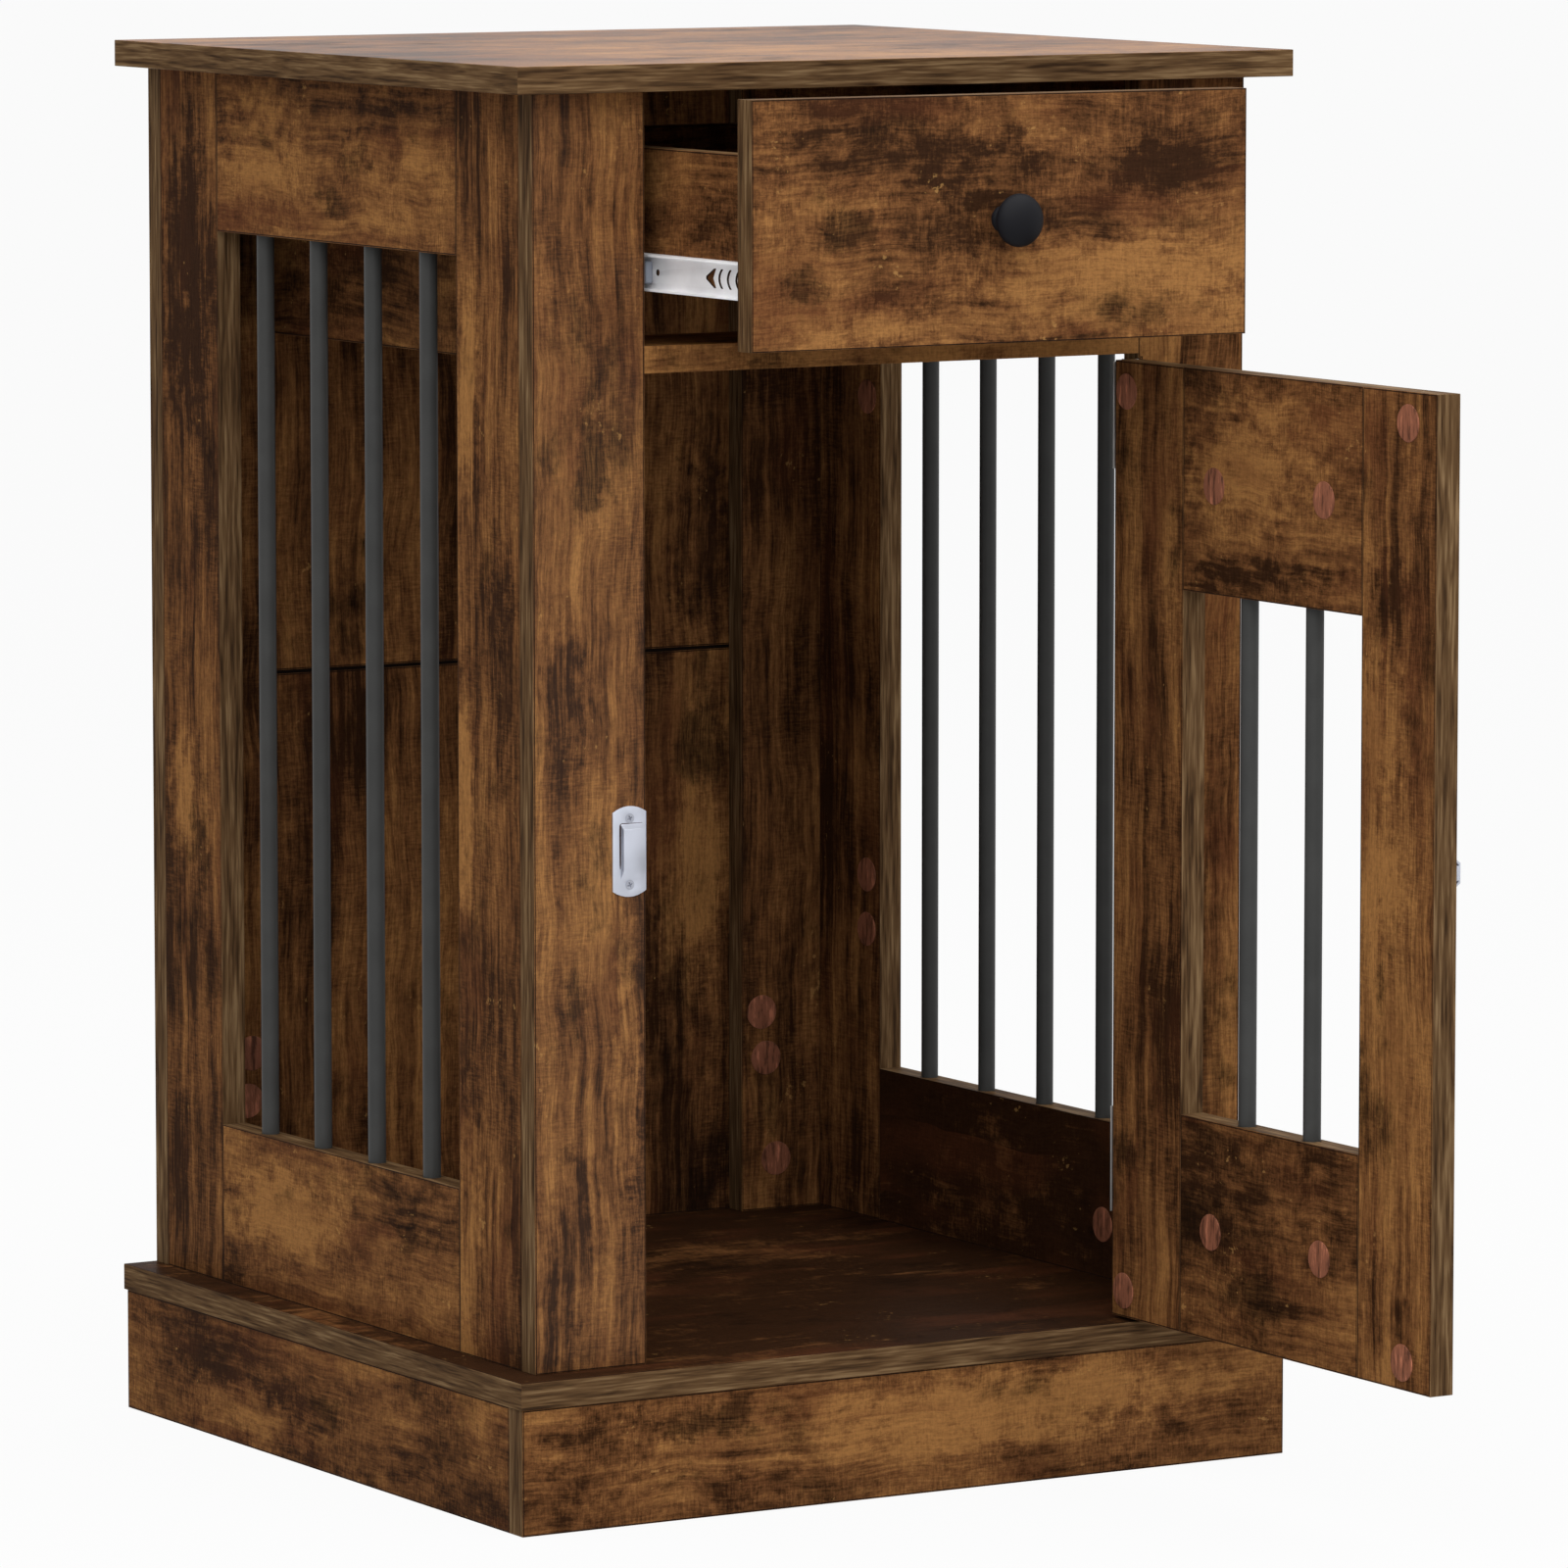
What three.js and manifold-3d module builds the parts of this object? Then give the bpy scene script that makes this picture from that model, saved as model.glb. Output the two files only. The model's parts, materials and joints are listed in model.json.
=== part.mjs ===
// A dog crate end table: a tall faced-board cabinet with a barred crate below a drawer.
// Millimetres, +Z up, +X to the right and +Y to the back, as seen from the front.
// The origin is the middle of the underside of the front plinth board.
// The drawer stands part open and the door stands open at a right angle.
import * as THREE from "three";
import { mergeVertices } from "three/addons/utils/BufferGeometryUtils.js";
import Module from "manifold-3d";

// ---- Driving dimensions: cabinet ----
const WIDTH = 500;
const DEPTH = 475;
const HEIGHT = 800;
const BOARD = 15;
const SIDE_LEDGE = 20; // top and base boards stand out past the side frames
const FRONT_LEDGE = 20;
const PLINTH_HEIGHT = 70;
const PLINTH_INSET = 1;
const PLINTH_BACK_INSET = 2.5;
const POST_WIDTH = 70;
const SIDE_STILE_WIDTH = 70;
const SIDE_RAIL_HEIGHT = 92;
const SIDE_BARS = 4;
const DRAWER_OPENING_HEIGHT = 139;
const DRAWER_RAIL_DEPTH = 80;
const SLIDE_PANEL_END_GAP = 15; // behind a slide panel, up to the back post
const BACK_SHEET = 2.5;
const BACK_SHEET_INSET = 2; // from the outer edges of the back posts
const SEAM_Z = 428; // middle of the joint between the two back sheets
const SEAM_HEIGHT = 2;
const JOINER_LIP = 0.5;
const JOINER_LIP_HEIGHT = 12;

// ---- Driving dimensions: bars ----
const BAR_DIAMETER = 10;
const BAR_PITCH = 64;
const BAR_SOCKET_DEPTH = 10;
const BAR_SIDES = 24;
const FIT = 0.3; // clearance round anything let into a hole, a groove or a relief

// ---- Driving dimensions: drawer ----
const DRAWER_OUT = 111; // how far the drawer stands open
const DRAWER_SIDE_GAP = 2;
const DRAWER_GAP_ABOVE = 1.5;
const DRAWER_GAP_BELOW = 2.5;
const DRAWER_BOX_LIFT = 26.5; // box underside above the drawer front's underside
const DRAWER_BOX_HEIGHT = 78;
const DRAWER_BOX_BOARD = 12;
const DRAWER_BOTTOM = 3;
const GROOVE_LIFT = 8;
const GROOVE_DEPTH = 5;
const KNOB_DIAMETER = 29;
const KNOB_PROJECTION = 25;
const KNOB_FOOT_DIAMETER = 14.5;
const KNOB_FOOT = 2;
const KNOB_FOOT_EDGE = 1.2; // straight part of the foot's edge
const KNOB_NECK_DIAMETER = 10.5;
const KNOB_FLARE = 0.8; // how much wider the neck is at the foot, on each side
const KNOB_FLARE_LENGTH = 1.6;
const KNOB_HEAD = 13; // depth of the head, from its back edge to its crown
const KNOB_RIM = 5.5; // widest place of the head, in front of its back edge
const KNOB_UNDER_TURN = 66; // degrees that the head curves in behind its rim
const KNOB_UNDER_POINTS = 6;
const KNOB_CROWN_POINTS = 12;
const KNOB_SIDES = 36;
const SCREW_DIAMETER = 4;
const SCREW_HEAD_DIAMETER = 9;
const SCREW_HEAD_FLAT = 6.3; // diameter of the flat on top of the head
const SCREW_HEAD = 2.6;
const SCREW_HEAD_EDGE = 1; // straight part of the head's edge
const SCREW_BITE = 12; // length held inside the knob

// ---- Driving dimensions: ball-bearing slides ----
const SLIDE_SPACE = 12.5; // from a slide panel to the drawer side
const SLIDE_LENGTH = 350; // the drawer box is as long as its slides
const SLIDE_SETBACK = 1.5; // cabinet member's end behind the shut drawer front
const SLIDE_TRAVEL = 250;
const SLIDE_STEEL = 1.2;
const CABINET_MEMBER_HEIGHT = 27;
const CABINET_MEMBER_DEPTH = 9;
const DRAWER_MEMBER_HEIGHT = 20;
const DRAWER_MEMBER_DEPTH = 8;
const SLIDE_LIFT = 0.5; // drawer member above the drawer side's underside
const CAGE_STEEL = 1;
const CAGE_STANDOFF = 0.8; // cage web clear of the cabinet member's web
const CAGE_END_GAP = 1;
const BALL_CLEARANCE = 0.15;
const BALLS_IN_A_ROW = 5;
const BALL_SIDES = 8;
const BALL_RINGS = 6;
const ARC_SLOTS = 3;
const ARC_SLOT_PITCH = 9;
const FIRST_ARC_SLOT = 16; // behind the drawer front, like the next three
const ARROW_SLOT_BASE = 41.5;
const ARROW_SLOT_LENGTH = 10.5;
const ARROW_TIP_HEIGHT = 1.6;
const SLIDE_HOLE = 101;
const SLIDE_HOLE_DIAMETER = 3.6;
const ARC_SLOT_HEIGHT = 10.5;
const ARC_SLOT_WIDTH = 2.2;
const ARC_SLOT_SAG = 3;
const ARC_SLOT_STEPS = 6;

// ---- Driving dimensions: door ----
const DOOR_ANGLE = 90; // degrees open
const DOOR_SIDE_GAP = 2;
const DOOR_GAP_ABOVE = 3;
const DOOR_GAP_BELOW = 2;
const DOOR_STILE_WIDTH = 70;
const DOOR_TOP_RAIL = 124;
const DOOR_BOTTOM_RAIL = 123;
const DOOR_BARS = 2;

// ---- Driving dimensions: butt hinges ----
const HINGE_LENGTH = 60;
const HINGE_STEEL = 0.8;
const HINGE_REACH = 16; // leaf width from the pin's middle
const UPPER_HINGE_DROP = 1; // below the door's top
const LOWER_HINGE_LIFT = 59; // above the door's underside
const KNUCKLES = 5;
const KNUCKLE_DIAMETER = 5;
const KNUCKLE_GAP = 0.3;
const HINGE_PIN_DIAMETER = 2.5;
const HINGE_PIN_CLEARANCE = 0.1;
const HINGE_PIN_END = 1; // pin standing out of each end of the knuckles
const HINGE_HOLE_DIAMETER = 3.4;
const HINGE_HOLES = 3;
const HINGE_SIDES = 20;

// ---- Driving dimensions: latch ----
const LATCH_Z = 370;
const PLATE_STEEL = 1;
const KEEPER_WIDTH = 21;
const KEEPER_HEIGHT = 50;
const KEEPER_ARCH = 3.3;
const KEEPER_ARCH_STEPS = 8;
const KEEPER_HOLE_SPACING = 36.6;
const PLATE_HOLE_DIAMETER = 3.6;
const BRIDGE_RISE = 2.4; // clear height under a bridge
const BRIDGE_SLOPE = 2.5; // run of a bridge's short sloping legs
const KEEPER_BRIDGE_WIDTH = 13.4;
const KEEPER_BRIDGE_SPAN = 21;
const KEEPER_BRIDGE_LONG_SLOPE = 5;
const KEEPER_BRIDGE_INSET = 2.5; // from the keeper's edge at the opening
const LATCH_PLATE_LENGTH = 50;
const LATCH_PLATE_HEIGHT = 24;
const LATCH_PLATE_INSET = 2; // from the door's free edge
const LATCH_BRIDGE_WIDTH = 8;
const LATCH_BRIDGE_END = 1;
const LATCH_HOLE_INSET = 3.6; // hole's middle from a bridge and from the plate's edge
const BOLT_WIDTH = 8;
const BOLT_THICKNESS = 1.8;
const BOLT_LENGTH = 60;
const BOLT_TRAVEL = 18;
const BOLT_LIFT = 0.2; // above the face of the plates
const BOLT_SIDE_CLEARANCE = 0.5;
const STUD_DIAMETER = 7;
const STUD_HEIGHT = 6;

// ---- Places worked out from them ----
const topUnder = HEIGHT - BOARD;
const baseTop = PLINTH_HEIGHT + BOARD;
const frontEdge = -BOARD / 2 - PLINTH_INSET;
const backEdge = frontEdge + DEPTH;
const outerX = WIDTH / 2 - SIDE_LEDGE;
const openingX = outerX - POST_WIDTH;
const postFront = frontEdge + FRONT_LEDGE;
const postBack = postFront + BOARD;
const backPostBack = backEdge - BACK_SHEET - JOINER_LIP;
const backPostFront = backPostBack - BOARD;
const windowLow = baseTop + SIDE_RAIL_HEIGHT;
const windowHigh = topUnder - SIDE_RAIL_HEIGHT;
const sideMiddleX = outerX - BOARD / 2;
const windowMiddleY = (postBack + backPostFront) / 2;
const drawerRailTop = topUnder - DRAWER_OPENING_HEIGHT;
const drawerRailUnder = drawerRailTop - BOARD;
const drawerFrontLow = drawerRailTop + DRAWER_GAP_BELOW;
const drawerFrontHigh = topUnder - DRAWER_GAP_ABOVE;
const knobZ = (drawerFrontLow + drawerFrontHigh) / 2;
const drawerBoxLow = drawerFrontLow + DRAWER_BOX_LIFT;
const drawerBoxHigh = drawerBoxLow + DRAWER_BOX_HEIGHT;
const drawerBoxX = openingX - SLIDE_SPACE;
const drawerInnerX = drawerBoxX - DRAWER_BOX_BOARD;
const drawerBoxBack = postBack + SLIDE_LENGTH;
const grooveLow = drawerBoxLow + GROOVE_LIFT;
const grooveHigh = grooveLow + DRAWER_BOTTOM + 2 * FIT;
const slideZ = drawerBoxLow + SLIDE_LIFT + DRAWER_MEMBER_HEIGHT / 2;
const hingeX = openingX - DOOR_SIDE_GAP / 2;
const doorHingeEdge = -DOOR_SIDE_GAP / 2; // from the hinge pin, door shut
const doorFreeEdge = DOOR_SIDE_GAP - openingX - hingeX;
const doorLow = baseTop + DOOR_GAP_BELOW;
const doorHigh = drawerRailUnder - DOOR_GAP_ABOVE;
const lowerHingeLow = doorLow + LOWER_HINGE_LIFT;
const upperHingeLow = doorHigh - UPPER_HINGE_DROP - HINGE_LENGTH;

// ---- Materials ----
const paint = (color, roughness, metalness) =>
  new THREE.MeshStandardMaterial({ color, roughness, metalness });
const boardFacing = paint(0x5e3d25, 0.55, 0);
const sheetFacing = paint(0x4f3320, 0.6, 0);
const blackBar = paint(0x26282b, 0.45, 0.4);
const blackKnob = paint(0x222126, 0.5, 0.1);
const whiteZinc = paint(0xd6d8dc, 0.35, 0.6);
const satinSteel = paint(0xb4b8c6, 0.35, 0.8);
const darkPlastic = paint(0x3a3835, 0.6, 0);
const cageSteel = paint(0x8f959e, 0.4, 0.6);

// ---- Solid tools ----
const wasm = await Module();
wasm.setup();

// A closed geometry as a solid that can be cut and joined.
function toSolid(geometry) {
  const bare = geometry.clone();
  bare.deleteAttribute("normal");
  bare.deleteAttribute("uv");
  const merged = mergeVertices(bare, 1e-4);
  return new wasm.Manifold(
    new wasm.Mesh({
      numProp: 3,
      vertProperties: new Float32Array(merged.attributes.position.array),
      triVerts: new Uint32Array(merged.index.array),
    }),
  );
}

// A solid back as a geometry that a mesh can hold.
function toGeometry(solid) {
  const { vertProperties, triVerts } = solid.getMesh();
  const indexed = new THREE.BufferGeometry()
    .setAttribute("position", new THREE.BufferAttribute(vertProperties, 3))
    .setIndex(new THREE.BufferAttribute(triVerts, 1));
  const flat = indexed.toNonIndexed();
  flat.computeVertexNormals();
  return flat;
}

const cut = (geometry, tools) =>
  toGeometry(tools.reduce((kept, tool) => kept.subtract(toSolid(tool)), toSolid(geometry)));

const join = (geometries) =>
  toGeometry(geometries.map(toSolid).reduce((whole, next) => whole.add(next)));

// A box between two values on each axis.
function block([x0, x1], [y0, y1], [z0, z1]) {
  return new THREE.BoxGeometry(x1 - x0, y1 - y0, z1 - z0).translate(
    (x0 + x1) / 2,
    (y0 + y1) / 2,
    (z0 + z1) / 2,
  );
}

// Upright cylinder between two heights, with a vertex on each axis direction.
function upright(diameter, x, y, [z0, z1], sides) {
  return new THREE.CylinderGeometry(diameter / 2, diameter / 2, z1 - z0, sides)
    .rotateX(Math.PI / 2)
    .translate(x, y, (z0 + z1) / 2);
}

// Cylinder along Y, for holes and studs that face the front.
function frontward(diameter, x, [y0, y1], z, sides) {
  return new THREE.CylinderGeometry(diameter / 2, diameter / 2, y1 - y0, sides).translate(
    x,
    (y0 + y1) / 2,
    z,
  );
}

// Cylinder along X, for holes through upright plates.
function sideward(diameter, [x0, x1], y, z, sides) {
  return new THREE.CylinderGeometry(diameter / 2, diameter / 2, x1 - x0, sides)
    .rotateZ(Math.PI / 2)
    .translate((x0 + x1) / 2, y, z);
}

// An outline drawn in the plane across Y, with its second value up, run from y0 to y1.
function runAlongY(points, [y0, y1]) {
  const shape = new THREE.Shape(points.map(([x, z]) => new THREE.Vector2(x, z)));
  return new THREE.ExtrudeGeometry(shape, { depth: y1 - y0, bevelEnabled: false })
    .rotateX(Math.PI / 2)
    .translate(0, y1, 0);
}

// An outline drawn in the plane across X, as (y, z) pairs, run from x0 to x1.
function runAlongX(points, [x0, x1]) {
  const shape = new THREE.Shape(points.map(([y, z]) => new THREE.Vector2(y, z)));
  return new THREE.ExtrudeGeometry(shape, { depth: x1 - x0, bevelEnabled: false })
    .rotateY(Math.PI / 2)
    .rotateX(Math.PI / 2)
    .translate(x0, 0, 0);
}

function piece(parent, name, geometry, material) {
  const mesh = new THREE.Mesh(geometry, material);
  mesh.name = name;
  parent.add(mesh);
  return mesh;
}

const table = new THREE.Group();
const cabinet = new THREE.Group();
const drawer = new THREE.Group();
const door = new THREE.Group();
const bolt = new THREE.Group();
table.add(cabinet, drawer, door);
door.add(bolt);
drawer.position.y = -DRAWER_OUT;
door.position.set(hingeX, postFront, 0);
door.rotation.z = THREE.MathUtils.degToRad(DOOR_ANGLE);

// Each hand of the cabinet: -1 on the left, 1 on the right.
const HANDS = [
  ["left", -1],
  ["right", 1],
];

// A range of x values seen from the middle, put on one hand.
const onHand = (hand, near, far) => (hand < 0 ? [-far, -near] : [near, far]);

// ---- Top, base and plinth ----
function addTopAndBase() {
  const x = [-WIDTH / 2, WIDTH / 2];
  const y = [frontEdge, backEdge];
  piece(cabinet, "top_board", block(x, y, [topUnder, HEIGHT]), boardFacing);
  piece(cabinet, "base_board", block(x, y, [PLINTH_HEIGHT, baseTop]), boardFacing);
}

function addPlinth() {
  const z = [0, PLINTH_HEIGHT];
  const outer = WIDTH / 2 - PLINTH_INSET;
  const back = backEdge - PLINTH_BACK_INSET;
  const front = block([-outer, outer], [-BOARD / 2, BOARD / 2], z);
  piece(cabinet, "plinth_front", front, boardFacing);
  for (const [side, hand] of HANDS) {
    const board = block(onHand(hand, outer - BOARD, outer), [BOARD / 2, back], z);
    piece(cabinet, `plinth_${side}`, board, boardFacing);
  }
  const rear = block([BOARD - outer, outer - BOARD], [back - BOARD, back], z);
  piece(cabinet, "plinth_back", rear, boardFacing);
}

// ---- Corner posts ----
function addPosts() {
  const z = [baseTop, topUnder];
  for (const [side, hand] of HANDS) {
    const x = onHand(hand, openingX, outerX);
    const front = block(x, [postFront, postBack], z);
    const reliefs = hand < 0 ? [] : [upperHingeLow, lowerHingeLow].map(postRelief);
    piece(cabinet, `front_post_${side}`, cut(front, reliefs), boardFacing);
    const back = block(x, [backPostFront, backPostBack], z);
    piece(cabinet, `back_post_${side}`, back, boardFacing);
  }
}

// Round relief in a board's arris that lets the hinge knuckles sit flush.
function knuckleRelief(low, x, y) {
  const z = [low - HINGE_PIN_END - FIT, low + HINGE_LENGTH + HINGE_PIN_END + FIT];
  return upright(KNUCKLE_DIAMETER + 2 * FIT, x, y, z, HINGE_SIDES);
}

const postRelief = (low) => knuckleRelief(low, hingeX, postFront);

// ---- Side frames: stiles, rails and bars ----
function socket(x, y, mouth, direction) {
  const floor = mouth + direction * BAR_SOCKET_DEPTH;
  const past = mouth - direction * FIT;
  const z = [Math.min(floor, past), Math.max(floor, past)];
  return upright(BAR_DIAMETER + 2 * FIT, x, y, z, BAR_SIDES);
}

function barPlaces(count, middle) {
  const first = middle - ((count - 1) * BAR_PITCH) / 2;
  return Array.from({ length: count }, (_, i) => first + i * BAR_PITCH);
}

// A bar stops a clearance short of the floor of each socket.
const barSpan = (low, high) => [low - BAR_SOCKET_DEPTH + FIT, high + BAR_SOCKET_DEPTH - FIT];

function addSideFrame(side, hand) {
  const x = onHand(hand, outerX - BOARD, outerX);
  const z = [baseTop, topUnder];
  const frontStile = [postBack, postBack + SIDE_STILE_WIDTH];
  const backStile = [backPostFront - SIDE_STILE_WIDTH, backPostFront];
  piece(cabinet, `${side}_front_stile`, block(x, frontStile, z), boardFacing);
  piece(cabinet, `${side}_back_stile`, block(x, backStile, z), boardFacing);
  const between = [frontStile[1], backStile[0]];
  const barX = hand * sideMiddleX;
  const barYs = barPlaces(SIDE_BARS, windowMiddleY);
  const topRail = block(x, between, [windowHigh, topUnder]);
  const topSockets = barYs.map((y) => socket(barX, y, windowHigh, 1));
  piece(cabinet, `${side}_top_rail`, cut(topRail, topSockets), boardFacing);
  const bottomRail = block(x, between, [baseTop, windowLow]);
  const bottomSockets = barYs.map((y) => socket(barX, y, windowLow, -1));
  piece(cabinet, `${side}_bottom_rail`, cut(bottomRail, bottomSockets), boardFacing);
  barYs.forEach((y, i) => {
    const bar = upright(BAR_DIAMETER, barX, y, barSpan(windowLow, windowHigh), BAR_SIDES);
    piece(cabinet, `${side}_bar_${i + 1}`, bar, blackBar);
  });
}

// ---- Rail, slide panels and back ----
function addDrawerSupports() {
  const rail = block(
    [-openingX, openingX],
    [postFront, postFront + DRAWER_RAIL_DEPTH],
    [drawerRailUnder, drawerRailTop],
  );
  piece(cabinet, "drawer_rail", rail, boardFacing);
  for (const [side, hand] of HANDS) {
    const panel = block(
      onHand(hand, openingX, openingX + BOARD),
      [postBack, backPostFront - SLIDE_PANEL_END_GAP],
      [drawerRailUnder, topUnder],
    );
    piece(cabinet, `slide_panel_${side}`, panel, boardFacing);
  }
}

function addBack() {
  const sheetX = [BACK_SHEET_INSET - outerX, outerX - BACK_SHEET_INSET];
  const y = [backPostBack, backPostBack + BACK_SHEET];
  const seamLow = SEAM_Z - SEAM_HEIGHT / 2;
  const seamHigh = SEAM_Z + SEAM_HEIGHT / 2;
  piece(cabinet, "back_sheet_upper", block(sheetX, y, [seamHigh, topUnder]), sheetFacing);
  piece(cabinet, "back_sheet_lower", block(sheetX, y, [baseTop, seamLow]), sheetFacing);
  const lipLow = SEAM_Z - JOINER_LIP_HEIGHT / 2;
  const lipHigh = SEAM_Z + JOINER_LIP_HEIGHT / 2;
  const tee = [
    [y[0], seamLow],
    [y[1], seamLow],
    [y[1], lipLow],
    [y[1] + JOINER_LIP, lipLow],
    [y[1] + JOINER_LIP, lipHigh],
    [y[1], lipHigh],
    [y[1], seamHigh],
    [y[0], seamHigh],
  ];
  piece(cabinet, "back_joiner", runAlongX(tee, sheetX), darkPlastic);
}

// ---- Drawer ----
function addDrawerFront() {
  const x = openingX - DRAWER_SIDE_GAP;
  const board = block([-x, x], [postFront, postBack], [drawerFrontLow, drawerFrontHigh]);
  const grooveX = drawerInnerX + GROOVE_DEPTH;
  const groove = block(
    [-grooveX, grooveX],
    [postBack - GROOVE_DEPTH, postBack + FIT],
    [grooveLow, grooveHigh],
  );
  const screwHole = frontward(
    SCREW_DIAMETER + 2 * FIT,
    0,
    [postFront - FIT, postBack + FIT],
    knobZ,
    HINGE_SIDES,
  );
  piece(drawer, "drawer_front", cut(board, [groove, screwHole]), boardFacing);
}

function addDrawerBox() {
  const y = [postBack, drawerBoxBack];
  for (const [side, hand] of HANDS) {
    const face = (x) => hand * x;
    const section = [
      [face(drawerInnerX), drawerBoxLow],
      [face(drawerBoxX), drawerBoxLow],
      [face(drawerBoxX), drawerBoxHigh],
      [face(drawerInnerX), drawerBoxHigh],
      [face(drawerInnerX), grooveHigh],
      [face(drawerInnerX + GROOVE_DEPTH), grooveHigh],
      [face(drawerInnerX + GROOVE_DEPTH), grooveLow],
      [face(drawerInnerX), grooveLow],
    ];
    piece(drawer, `drawer_side_${side}`, runAlongY(section, y), boardFacing);
  }
  const back = block(
    [-drawerInnerX, drawerInnerX],
    [drawerBoxBack - DRAWER_BOX_BOARD, drawerBoxBack],
    [grooveHigh, drawerBoxHigh],
  );
  piece(drawer, "drawer_back", back, boardFacing);
  const edge = drawerInnerX + GROOVE_DEPTH - FIT;
  const bottom = block(
    [-edge, edge],
    [postBack - GROOVE_DEPTH + FIT, drawerBoxBack],
    [grooveLow + FIT, grooveHigh - FIT],
  );
  piece(drawer, "drawer_bottom", bottom, sheetFacing);
}

// A mushroom knob turned about an axis that points out of the drawer front.
function addKnob() {
  const neck = KNOB_NECK_DIAMETER / 2;
  const head = KNOB_DIAMETER / 2;
  const headBack = KNOB_PROJECTION - KNOB_HEAD;
  const bore = SCREW_DIAMETER / 2 + FIT;
  const boreEnd = SCREW_BITE + FIT;
  const rim = headBack + KNOB_RIM;
  const turn = THREE.MathUtils.degToRad(KNOB_UNDER_TURN);
  const crown = new THREE.EllipseCurve(0, rim, head, KNOB_PROJECTION - rim, 0, Math.PI / 2);
  const under = new THREE.EllipseCurve(0, rim, head, KNOB_RIM, -turn, 0);
  const profile = [
    new THREE.Vector2(bore, 0),
    new THREE.Vector2(KNOB_FOOT_DIAMETER / 2, 0),
    new THREE.Vector2(KNOB_FOOT_DIAMETER / 2, KNOB_FOOT_EDGE),
    new THREE.Vector2(neck + KNOB_FLARE, KNOB_FOOT),
    new THREE.Vector2(neck, KNOB_FOOT + KNOB_FLARE_LENGTH),
    new THREE.Vector2(neck, headBack),
    ...under.getPoints(KNOB_UNDER_POINTS),
    ...crown.getPoints(KNOB_CROWN_POINTS).slice(1, -1),
    new THREE.Vector2(0, KNOB_PROJECTION),
    new THREE.Vector2(0, boreEnd),
    new THREE.Vector2(bore, boreEnd),
    new THREE.Vector2(bore, 0),
  ];
  const turned = new THREE.LatheGeometry(profile, KNOB_SIDES);
  turned.rotateX(Math.PI).translate(0, postFront, knobZ);
  piece(drawer, "drawer_knob", join([turned]), blackKnob);
  const shank = SCREW_DIAMETER / 2;
  const screwHead = SCREW_HEAD_DIAMETER / 2;
  const screw = new THREE.LatheGeometry(
    [
      new THREE.Vector2(0, -SCREW_HEAD),
      new THREE.Vector2(SCREW_HEAD_FLAT / 2, -SCREW_HEAD),
      new THREE.Vector2(screwHead, -SCREW_HEAD_EDGE),
      new THREE.Vector2(screwHead, 0),
      new THREE.Vector2(shank, 0),
      new THREE.Vector2(shank, BOARD + SCREW_BITE),
      new THREE.Vector2(0, BOARD + SCREW_BITE),
    ],
    HINGE_SIDES,
  );
  screw.rotateX(Math.PI).translate(0, postBack, knobZ);
  piece(drawer, "knob_screw", join([screw]), whiteZinc);
}

// ---- Ball-bearing slides ----
// A slide is drawn across its own depth: 0 on the slide panel, SLIDE_SPACE on the drawer side.
const slideX = (hand, depth) => hand * (openingX - depth);
const slideStart = postBack + SLIDE_SETBACK;

// Channel section whose web lies on one side and whose two legs reach to the other.
function channel(hand, webOuter, legEnd, height, steel) {
  const webInner = webOuter + Math.sign(legEnd - webOuter) * steel;
  const outline = [
    [webOuter, height / 2],
    [legEnd, height / 2],
    [legEnd, height / 2 - steel],
    [webInner, height / 2 - steel],
    [webInner, steel - height / 2],
    [legEnd, steel - height / 2],
    [legEnd, -height / 2],
    [webOuter, -height / 2],
  ];
  return outline.map(([depth, z]) => [slideX(hand, depth), slideZ + z]);
}

// Equal steps across a curve whose middle is 0.
const fromMinusOneToOne = (steps) =>
  Array.from({ length: steps + 1 }, (_, i) => (2 * i) / steps - 1);

// Outline of a bowed slot in the drawer member's web, its hollow side to the front.
function bowedSlot(place) {
  const half = ARC_SLOT_HEIGHT / 2;
  const bow = (t) => ARC_SLOT_SAG * (1 - t * t);
  const heights = fromMinusOneToOne(ARC_SLOT_STEPS);
  const near = heights.map((t) => [place + bow(t), slideZ + t * half]);
  const far = heights.map((t) => [place + ARC_SLOT_WIDTH + bow(t), slideZ + t * half]);
  return [...near, ...far.reverse()];
}

// Arrow-shaped slot: its tip points to the back.
function arrowSlot(place) {
  const half = ARC_SLOT_HEIGHT / 2;
  return [
    [place, slideZ - half],
    [place + ARC_SLOT_SAG, slideZ],
    [place, slideZ + half],
    [place + ARC_SLOT_WIDTH, slideZ + half],
    [place + ARROW_SLOT_LENGTH, slideZ + ARROW_TIP_HEIGHT / 2],
    [place + ARROW_SLOT_LENGTH, slideZ - ARROW_TIP_HEIGHT / 2],
    [place + ARC_SLOT_WIDTH, slideZ - half],
  ];
}

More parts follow.
